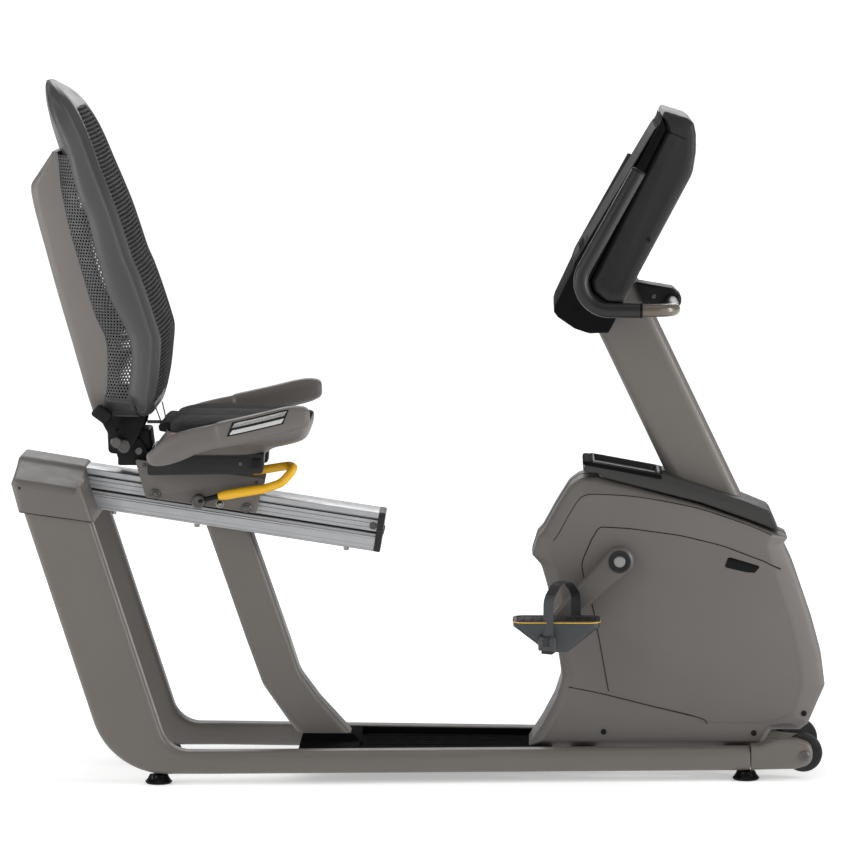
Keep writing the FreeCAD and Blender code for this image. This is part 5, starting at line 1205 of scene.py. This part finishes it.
# ================================================================ cranks and pedals
for sd, sg in SIDES:
    a = math.radians(224.5 + (0 if sg < 0 else 180))
    px, pz = 394.9 + 172.0 * math.cos(a), 437.8 + 172.0 * math.sin(a)
    dx, dz = math.cos(a), math.sin(a)
    nxx, nzz = -dz, dx

    def arm_loop(r0, r1, n=20):
        f0 = math.acos((r0 - r1) / 172.0)
        pts = []
        for k in range(n + 1):
            t = a + f0 + (2 * math.pi - 2 * f0) * k / n
            pts.append((394.9 + r0 * math.cos(t), 437.8 + r0 * math.sin(t)))
        for k in range(n + 1):
            t = a - f0 + 2 * f0 * k / n
            pts.append((px + r1 * math.cos(t), pz + r1 * math.sin(t)))
        return pts
    rows = []
    for r0, r1, y in ((26.0, 14.0, 108.2), (28.2, 16.2, 109.0), (29.0, 17.0, 111.0), (29.0, 17.0, 127.0), (28.6, 16.6, 128.6), (24.4, 12.4, 133.0), (23.4, 11.4, 133.8), (22.0, 10.0, 134.0)):
        rows.append([(x, sg * y, z) for x, z in arm_loop(r0, r1)])
    v, f = grid(rows, closed=True, cap=True)
    build("crank_arm_body_" + sd, v, f, "arm", "crank", "arm_metal", ("crank_arm_" + sd,), 30)
    turned("crank_boss_" + sd, [(10.0, 0), (25.0, 0), (26.0, 1.0), (26.0, 11.5), (10.0, 11.5)], (394.9, sg * 97.0, 437.8), (0, sg, 0), "arm", "crank", "arm_metal", n=56)
    turned("crank_end_ring_" + sd, [(22.4, -0.5), (22.4, 1.6), (21.4, 2.6), (17.6, 2.8), (16.8, 1.4), (12.0, 1.2), (12.0, -0.5)], (394.9, sg * 133.6, 437.8), (0, sg, 0), "dark", "crank", "arm_metal", n=56)
    turned("crank_bolt_" + sd, [(11.6, -1.0), (11.6, 2.6), (10.6, 3.8), (8.4, 4.0), (7.8, 2.6), (6.6, 2.4), (6.2, 5.4), (5.4, 6.2), (0.01, 6.4)], (394.9, sg * 134.2, 437.8), (0, sg, 0), "steel", "crank", "steel", n=40)
    turned("pedal_spindle_" + sd, [(8.0, 0), (8.0, 2.0), (11.5, 2.2), (11.5, 9.0), (8.0, 10.0), (7.95, 104.5), (6.8, 105.8), (0.01, 106.0)], (px, sg * 133.9, pz), (0, sg, 0), "steel", "crank", "steel", n=36)

    # pedal body, heavy side down
    yc = sg * 207.5
    rows = []
    for z, x0, x1, hy, r in ((17.0, -86.0, 82.0, 43.6, 24), (17.8, -87.2, 83.2, 44.8, 25), (17.2, -88.0, 84.0, 45.5, 26), (15.0, -88.0, 84.0, 45.5, 26), (5.0, -87.2, 83.2, 45.2, 26), (2.8, -84.6, 80.8, 44.0, 25), (-4.0, -75.0, 72.0, 41.6, 23), (-14.0, -62.5, 60.5, 38.6, 20), (-26.0, -46.5, 45.0, 35.0, 17), (-38.0, -31.0, 30.0, 31.5, 11), (-44.4, -22.0, 21.0, 29.0, 10), (-46.0, -18.5, 18.0, 27.0, 9)):
        lp = corner_loop([(x0, -hy, r), (x1, -hy, r), (x1, hy, r), (x0, hy, r)], 8)
        rows.append([(px + x, yc + y, pz + z) for x, y in lp])
    # down into the recess
    top = []
    for z, x0, x1, hy, r in ((14.6, -79.0, 75.0, 37.0, 11), (15.8, -80.2, 76.2, 38.2, 12), (17.0, -81.4, 77.4, 39.4, 12)):
        lp = corner_loop([(x0, -hy, r), (x1, -hy, r), (x1, hy, r), (x0, hy, r)], 8)
        top.append([(px + x, yc + y, pz + z) for x, y in lp])
    rows = top + rows
    v, f = grid(rows, closed=True, cap=True)
    build("pedal_body_" + sd, v, f, "pedal", "pedal_unit_" + sd, "black_plastic", ("pedal_" + sd,), 34)
    # tread with raised bars
    lp = corner_loop([(-79.0, -37.0, 11), (75.0, -37.0, 11), (75.0, 37.0, 11), (-79.0, 37.0, 11)], 8)
    rows = [[(px + x * s, yc + y * s, pz + z) for x, y in lp] for s, z in ((1.0, 14.2), (1.0, 15.2), (0.98, 15.6))]
    v, f = grid(rows, closed=True, cap=True)
    build("pedal_tread_" + sd, v, f, "tread", "pedal_unit_" + sd, "black_plastic", (), 40)
    for i in range(9):
        x = px - 68.0 + 16.5 * i
        plate("pedal_bar_%d_%s" % (i, sd), [(x - 3.4, yc - 31.0, 3), (x + 3.4, yc - 31.0, 3), (x + 3.4, yc + 31.0, 3), (x - 3.4, yc + 31.0, 3)], pz + 14.8, pz + 17.4, "tread", "pedal_unit_" + sd, "black_plastic", "xy", edge=0.7, seg=2)
    lp = corner_loop([(-88.1, -45.6, 26), (84.1, -45.6, 26), (84.1, 45.6, 26), (-88.1, 45.6, 26)], 8)
    path = [(px + x, yc + y, pz + 14.4) for x, y in lp]
    tube("pedal_trim_" + sd, path + path[:2], 0.95, "yellow", "pedal_unit_" + sd, "lever_yellow", sides=10)
    # strap: one bent band, grey on its outer leg
    ST = Matrix.Translation(Vector((px + 9.0, yc, pz)) * K) @ Matrix.Rotation(math.radians(60.0 if sg < 0 else -60.0), 4, "Z")
    mid = 1.2
    arch = bent([(-55.5 + mid, 0, -30.0), (-55.5 + mid, 0, 62.0), (-20.0, 0, 90.0 - mid), (20.0, 0, 90.0 - mid), (55.5 - mid, 0, 62.0), (55.5 - mid, 0, -2.0)], [32.0, 38.0, 38.0, 32.0], 9)

    def band(name, pts, hw, th, mat):
        rows = []
        for i, p in enumerate(pts):
            t = (pts[min(i + 1, len(pts) - 1)] - pts[max(i - 1, 0)]).normalized()
            n = Vector((0, 1, 0)).cross(t).normalized()
            rows.append([p + Vector((0, s * hw, 0)) + n * w for s, w in ((-1, -th * 0.5), (-1, th * 0.25), (-0.93, th * 0.5), (0.93, th * 0.5), (1, th * 0.25), (1, -th * 0.5), (0.93, -th * 0.5), (-0.93, -th * 0.5))])
        v, f = grid(rows, closed=True, cap=True)
        return build(name, v, f, mat, "pedal_unit_" + sd, "strap_rubber", (), 35, ST)
    cutk = next(i for i, p in enumerate(arch) if p.z > 70.0)
    # finer runs along the straight legs
    fine = []
    for p, q in zip(arch, arch[1:]):
        n = max(1, int((q - p).length / 7.0))
        fine += [p.lerp(q, k / n) for k in range(n)]
    fine.append(arch[-1])
    cutk = next(i for i, p in enumerate(fine) if p.z > 66.0)
    o = band("pedal_strap_outer_" + sd, fine[:cutk + 1], 11.0, 2.6, "pedal")
    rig.replaces(o, "pedal_strap_" + sd)
    band("pedal_strap_top_" + sd, fine[cutk:], 11.0, 2.4, "strap")
    plate("strap_buckle_" + sd, [(-64.0, -40.0, 3), (-55.0, -41.0, 2), (-55.0, -13.0, 2), (-60.0, -12.0, 3), (-64.5, -22.0, 4)], -18.0, 18.0, "pedal", "pedal_unit_" + sd, "strap_rubber", edge=1.6, matrix=ST)
    plate("strap_clip_" + sd, [(-66.5, -30.0, 2), (-63.0, -32.0, 2), (-60.0, -14.0, 2), (-63.5, -12.0, 2)], -7.0, 7.0, "strap", "pedal_unit_" + sd, "strap_rubber", edge=0.8, matrix=ST)
    plate("strap_foot_" + sd, [(-62.0, -47.0, 2), (-48.0, -44.0, 2), (-48.0, -30.0, 2), (-62.0, -34.0, 2)], -12.0, 12.0, "tread", "pedal_unit_" + sd, "strap_rubber", edge=1.0, matrix=ST)


# ================================================================ base frame
def rail_y(x):
    return 182.0 - max(0.0, x + 406.4) * math.tan(math.radians(3.67))


def oval(c, u, w, hu, hw, r, n=7):
    """A rounded rectangle about c, spanned by the directions u and w."""
    c, u, w = Vector(c), Vector(u), Vector(w)
    return [c + u * p + w * q for p, q in corner_loop([(-hu, -hw, r), (hu, -hw, r), (hu, hw, r), (-hu, hw, r)], n)]


def arc_pts(points, radii, count):
    """Evenly spaced points along straight runs joined by arcs."""
    pts = bent(points, radii, 24)
    cum = [0.0]
    for a, b in zip(pts, pts[1:]):
        cum.append(cum[-1] + (b - a).length)
    out = []
    for k in range(count):
        d = cum[-1] * k / (count - 1)
        i = max(j for j in range(len(cum)) if cum[j] <= d + 1e-6)
        i = min(i, len(pts) - 2)
        out.append(pts[i].lerp(pts[i + 1], (d - cum[i]) / max(1e-6, cum[i + 1] - cum[i])))
    return out


ELBOW_N = 40
EO = arc_pts([(-646.0, 0, 130.6), (-610.2, 0, 20.0), (-406.4, 0, 20.0)], [152.0], ELBOW_N)
EI = arc_pts([(-517.8, 0, 130.6), (-497.2, 0, 67.0), (-406.4, 0, 67.0)], [58.0], ELBOW_N)
for sd, sg in SIDES:
    rows = []
    for k in range(9):
        z = 566.0 - (566.0 - 130.6) * k / 8
        cx = -581.95 - 0.3247 * (z - 130.6)
        if k == 8:
            break
        rows.append(oval((cx, sg * 182.0, z), (1, 0, 0), (0, 1, 0), 64.1, 25.0, 14.0))
    for i in range(ELBOW_N):
        o_, i_ = EO[i], EI[i]
        c = (o_ + i_) / 2
        d = (i_ - o_)
        rows.append(oval((c.x, sg * 182.0, c.z), d.normalized(), (0, 1, 0), d.length / 2, 25.0, 14.0 + 5.5 * min(1.0, i / (ELBOW_N - 1.0))))
    for x in (-300.0, -150.0, 0.0, 150.0, 300.0, 450.0, 600.0, 648.0, 653.0, 655.2):
        y = rail_y(x)
        w = 1.0 if x < 655 else 0.97
        rows.append(oval((x, sg * y, 43.5), (0, 0, 1), (0, 1, 0), 23.5 * w, 25.0 * w, 19.5 * w))
    v, f = grid(rows, closed=True, cap=True)
    build("base_tube_" + sd, v, f, "paint", "frame", "frame_paint", ("side_rail_" + sd, "rear_upright_" + sd, "rear_corners"), 30)

# moulded cover over the uprights: rounded at its ends, raised in the middle
COV = [(-788.5, 541.0, 2), (-803.5, 597.0, 30), (-804.0, 618.0, 14), (-792.0, 660.0, 20), (-668.0, 660.0, 12), (-663.6, 600.0, 6), (-662.0, 583.0, 10), (-640.2, 521.3, 2)]


def roof_z(y, x):
    a = abs(y)
    base = 640.5 if a < 56 else (640.5 - 9.5 * (1 - math.cos(math.pi * (a - 56) / 30)) / 2 if a < 86 else 631.0 - (a - 86) * 25.0 / 126.0)
    return base - (x + 806.0) * math.tan(math.radians(SLOPE))


TOP_R = 13.0
rows = []
ys = [-210.0, -209.5, -207.5, -204.0, -199.0, -192.0, -170.0, -140.0, -112.0, -90.0, -82.0, -74.0, -66.0, -58.0, -50.0, -20.0]
ys = ys + [-y for y in reversed(ys)]
for y in ys:
    e = 210.0 - abs(y)
    ins = 14.0 - math.sqrt(max(0.0, 14.0 ** 2 - (14.0 - e) ** 2)) if e < 14.0 else 0.0
    zt0, zt1 = roof_z(y, -800.0) - ins, roof_z(y, -665.0) - ins
    pts = [(-788.5 + ins * 0.9, 541.0, 1), (-803.5 + ins, 597.0, 40), (-803.0 + ins, zt0 - 8.0, 16), (-797.0 + ins, zt0, 16), (-740.0, roof_z(y, -740.0) - ins, 60), (-669.0 - ins * 0.6, zt1, 9), (-663.4 - ins * 0.6, 598.0, 6), (-662.0 - ins * 0.6, 583.0, 12), (-640.2 - ins * 0.9, 521.3, 1)]
    rows.append([(x, y, z) for x, z in corner_loop(pts, 7)])
v, f = grid(rows, closed=True, cap=True)
cut_caps(build("rear_cover_shell", v, f, "body", "frame", "body_plastic", ("rear_top_cover",), 34))
for sd, sg in SIDES:
    groove("rear_cover_seam_" + sd, [(-787.0, sg * 208.0, 543.0), (-786.0, sg * 209.6, 542.6), (-715.0, sg * 210.0, 532.6), (-644.0, sg * 209.6, 523.0)], 0.8, "frame")

# extruded seat rail with its steps
CC, SS = math.cos(math.radians(SLOPE)), math.sin(math.radians(SLOPE))


def on_rail(u, y, w):
    return (-377.0 + u * CC + w * SS, y, 490.9 - u * SS + w * CC)


half = [(0.0, 0.0), (53.6, 0.0), (55.0, 1.2), (55.0, 3.4), (54.2, 4.0), (54.2, 10.6), (55.0, 11.2), (55.0, 24.4), (54.0, 25.6), (54.0, 28.4), (51.0, 29.4), (50.6, 34.4), (46.0, 35.0), (43.0, 35.6), (43.0, 44.6), (44.2, 45.6), (44.2, 53.6), (43.0, 54.6), (43.0, 63.2), (44.0, 64.0), (52.0, 64.4), (53.2, 65.2), (54.2, 66.4), (55.0, 67.4), (55.0, 76.4), (54.0, 77.6), (52.6, 78.0), (0.0, 78.0)]
prof = half + [(-y, w) for y, w in reversed(half[1:-1])]
rows = [[on_rail(u, y, w) for y, w in prof] for u in (-316.6, -200.0, -80.0, 40.0, 160.0, 285.4)]
v, f = grid(rows, closed=True, cap=True)
o = build("seat_rail_extrusion", v, f, "rail", "frame", "rail_metal", ("seat_rail",), 25)
for sd, sg in SIDES:
    for nm, w0, w1, y0 in (("upper", 61.0, 64.0, 43.2), ("lower", 35.4, 38.2, 43.2)):
        rows = [[on_rail(u, sg * (y0 - 0.5), w0), on_rail(u, sg * (y0 + 0.8), w0), on_rail(u, sg * (y0 + 0.8), w1), on_rail(u, sg * (y0 - 0.5), w1)] for u in (-316.0, 285.0)]
        v, f = grid(rows, closed=True, cap=True)
        build("rail_shadow_%s_%s" % (nm, sd), v, f, "black", "frame", "rail_metal", (), 30)
    for i, u in enumerate((277.0,)):
        x, _, z = on_rail(u, 0, 49.0)
        turned("rail_stop_%d_%s" % (i, sd), [(7.0, 0), (7.0, 4.0), (6.0, 5.0), (3.4, 5.0), (3.0, 2.6), (0.01, 2.6)], (x, sg * 44.0, z), (0, sg, 0), "dark_steel", "frame", "steel", n=28)
# end cap
rows = []
for u, k in ((284.9, 1.0), (285.4, 1.0), (296.0, 1.0), (297.8, 0.985), (298.4, 0.955)):
    rows.append([Vector(on_rail(u, y * k, 39.0 + (w - 39.0) * k)) for y, w in corner_loop([(-56.0, -1.0, 7), (56.0, -1.0, 7), (56.0, 79.0, 11), (-56.0, 79.0, 11)], 7)])
v, f = grid(rows, closed=True, cap=True)
build("rail_end_cap_shell", v, f, "dark", "frame", "dark_plastic", ("rail_end_cap",), 35)
for y in (-30.0, 30.0):
    c = Vector(on_rail(298.2, y, 39.0))
    turned("cap_screw_%d" % (0 if y < 0 else 1), [(6.0, -0.5), (6.0, 1.4), (5.0, 2.4), (2.4, 2.6), (2.0, 1.2), (0.01, 1.2)], c, (CC, 0, -SS), "dark_steel", "frame", "steel", n=24)
# bolts below the rail
for i, x in enumerate((-614.0, -447.6, -149.0)):
    u = (x + 377.0) / CC
    c = Vector(on_rail(u, -30.0, 0.0))
    d = Vector((-SS, 0, -CC))
    for y in (-34.0, 34.0):
        cc = Vector((c.x, y, c.z))
        turned("rail_bolt_%d_%d" % (i, 0 if y < 0 else 1), [(7.0, -0.5), (7.0, 1.2), (5.6, 1.4), (5.6, 7.4), (4.8, 8.4), (0.01, 8.6)], cc, d, "steel", "frame", "steel", n=24)

# deck, cross members, brackets
refine("deck_cover", "deck", "frame", "black_plastic", 1.2, 3)
refine("cross_members", "black", "frame", "frame_paint", 1.2, 2)
refine("wheel_brackets", "paint", "frame", "frame_paint", 2.0, 4, shade=32)
for sd, sg in SIDES:
    turned("wheel_tyre_" + sd, [(30.0, -10.5), (34.5, -12.0), (36.8, -11.4), (37.8, -9.6), (38.0, -7.0), (38.0, 7.0), (37.8, 9.6), (36.8, 11.4), (34.5, 12.0), (30.0, 10.5)], (762.0, sg * 96.0, 52.0), (0, sg, 0), "rubber", "wheel_" + sd, "wheel_rubber", n=72, replaces=("transport_wheel_" + sd,))
    turned("wheel_hub_" + sd, [(5.1, -11.0), (11.0, -11.0), (12.0, -10.0), (12.0, -6.6), (29.0, -6.0), (30.6, -9.6), (31.2, -9.6), (31.2, 9.6), (30.6, 9.6), (29.0, 6.0), (12.0, 6.6), (12.0, 10.0), (11.0, 11.0), (5.1, 11.0)], (762.0, sg * 96.0, 52.0), (0, sg, 0), "dark", "wheel_" + sd, "wheel_rubber", n=56)
    turned("wheel_axle_cap_" + sd, [(10.0, 0), (10.0, 2.0), (8.6, 3.2), (4.0, 3.4), (3.6, 2.0), (0.01, 2.0)], (762.0, sg * 138.2, 52.0), (0, sg, 0), "dark_steel", "frame", "steel", n=32)
    for where, fx in (("rear", -516.6), ("front", 647.8)):
        fy = sg * (182.0 if where == "rear" else 182.0 - 1055.9 * math.tan(math.radians(3.67)))
        turned("foot_pad_%s_%s" % (where, sd), [(22.5, 0.0), (24.6, 0.3), (25.6, 1.4), (26.9, 3.4), (26.9, 4.4), (26.0, 5.6), (25.0, 6.4), (21.6, 11.0), (19.4, 15.4), (18.6, 17.6), (15.0, 18.4), (9.0, 18.6), (8.0, 20.2)], (fx, fy, 0.0), (0, 0, 1), "gloss", "frame", "foot_black", n=56, replaces=("foot_%s_%s" % (where, sd),))
# ================================================================ stage
WORLD, GAIN = 0.34, 0.62


def stage():
    me = bpy.data.meshes.new("floor")
    R, n = 160.0, 96
    vs = [(0, 0, -0.0005)] + [(R * math.cos(2 * math.pi * i / n), R * math.sin(2 * math.pi * i / n), -0.0005) for i in range(n)]
    me.from_pydata(vs, [], [(0, 1 + i, 1 + (i + 1) % n) for i in range(n)])
    o = bpy.data.objects.new("floor", me)
    bpy.context.collection.objects.link(o)
    m = bpy.data.materials.new("floor_white")
    m.use_nodes = True
    p = m.node_tree.nodes["Principled BSDF"]
    n1 = m.node_tree.nodes.new("ShaderNodeTexNoise")
    n1.inputs["Scale"].default_value = 2.0
    mr = m.node_tree.nodes.new("ShaderNodeMapRange")
    mr.inputs["To Min"].default_value = 0.86
    mr.inputs["To Max"].default_value = 0.90
    m.node_tree.links.new(n1.outputs["Fac"], mr.inputs["Value"])
    vm = m.node_tree.nodes.new("ShaderNodeVectorMath")
    vm.operation = "SCALE"
    vm.inputs[0].default_value = (1, 1, 1)
    m.node_tree.links.new(mr.outputs["Result"], vm.inputs["Scale"])
    m.node_tree.links.new(vm.outputs["Vector"], p.inputs["Base Color"])
    p.inputs["Roughness"].default_value = 0.75
    p.inputs["Specular IOR Level"].default_value = 0.15
    # white near the object for the contact shadow, glowing white further out
    tc = m.node_tree.nodes.new("ShaderNodeTexCoord")
    ln = m.node_tree.nodes.new("ShaderNodeVectorMath")
    ln.operation = "LENGTH"
    m.node_tree.links.new(tc.outputs["Object"], ln.inputs[0])
    er = m.node_tree.nodes.new("ShaderNodeMapRange")
    er.inputs["From Min"].default_value = 1.0
    er.inputs["From Max"].default_value = 5.0
    er.inputs["To Min"].default_value = 0.42
    er.inputs["To Max"].default_value = 0.85
    m.node_tree.links.new(ln.outputs["Value"], er.inputs["Value"])
    p.inputs["Emission Color"].default_value = (1, 1, 1, 1)
    m.node_tree.links.new(er.outputs["Result"], p.inputs["Emission Strength"])
    me.materials.append(m)
    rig.stage(o)

    w = bpy.data.worlds.new("studio")
    bpy.context.scene.world = w
    w.use_nodes = True
    bg = w.node_tree.nodes["Background"]
    bg.inputs["Color"].default_value = (1, 1, 1, 1)
    lp = w.node_tree.nodes.new("ShaderNodeLightPath")
    ws = w.node_tree.nodes.new("ShaderNodeMapRange")
    ws.inputs["To Min"].default_value = WORLD
    ws.inputs["To Max"].default_value = 1.05
    w.node_tree.links.new(lp.outputs["Is Camera Ray"], ws.inputs["Value"])
    w.node_tree.links.new(ws.outputs["Result"], bg.inputs["Strength"])

    def area(name, loc, target, sx, sy, power):
        l = bpy.data.lights.new(name, "AREA")
        l.shape = "RECTANGLE"
        l.size, l.size_y, l.energy = sx, sy, power * GAIN
        o = bpy.data.objects.new(name, l)
        bpy.context.collection.objects.link(o)
        o.location = loc
        o.rotation_euler = (Vector(target) - Vector(loc)).to_track_quat("-Z", "Y").to_euler()
        return o
    area("top_soft", (0.1, -0.4, 3.6), (0, 0, 0.4), 3.6, 2.6, 27)
    area("key", (-2.6, -3.6, 2.6), (0, 0, 0.7), 2.0, 2.0, 66)
    area("fill", (3.4, -3.2, 2.0), (0, 0, 0.6), 2.2, 2.2, 33)
    area("strip_front", (3.5, -0.8, 1.4), (0, 0, 0.7), 0.5, 2.5, 105)
    area("strip_rear", (-3.5, -0.6, 1.4), (0, 0, 0.7), 0.5, 2.5, 65)
    area("back", (0.0, 3.6, 2.4), (0, 0, 0.8), 3.4, 1.8, 70)

    cam = bpy.data.cameras.new("camera")
    o = bpy.data.objects.new("camera", cam)
    bpy.context.collection.objects.link(o)
    cam.sensor_width = 36.0
    cam.lens = 5250.0 / 852.0 * 36.0
    loc, tgt = Vector((0.22587, -10.44544, 1.74029)), Vector((0.009, 0.0, 0.69353))
    o.location = loc
    o.rotation_euler = (tgt - loc).to_track_quat("-Z", "Y").to_euler()
    cam.clip_start, cam.clip_end = 0.5, 400.0
    bpy.context.scene.camera = o
    bpy.context.scene.view_settings.view_transform = "Standard"


stage()

lo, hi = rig.bounds()
json.dump({"cad": [list(CAD_BOX[0]), list(CAD_BOX[1])], "visual": [list(lo), list(hi)]}, open("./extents.json", "w"))
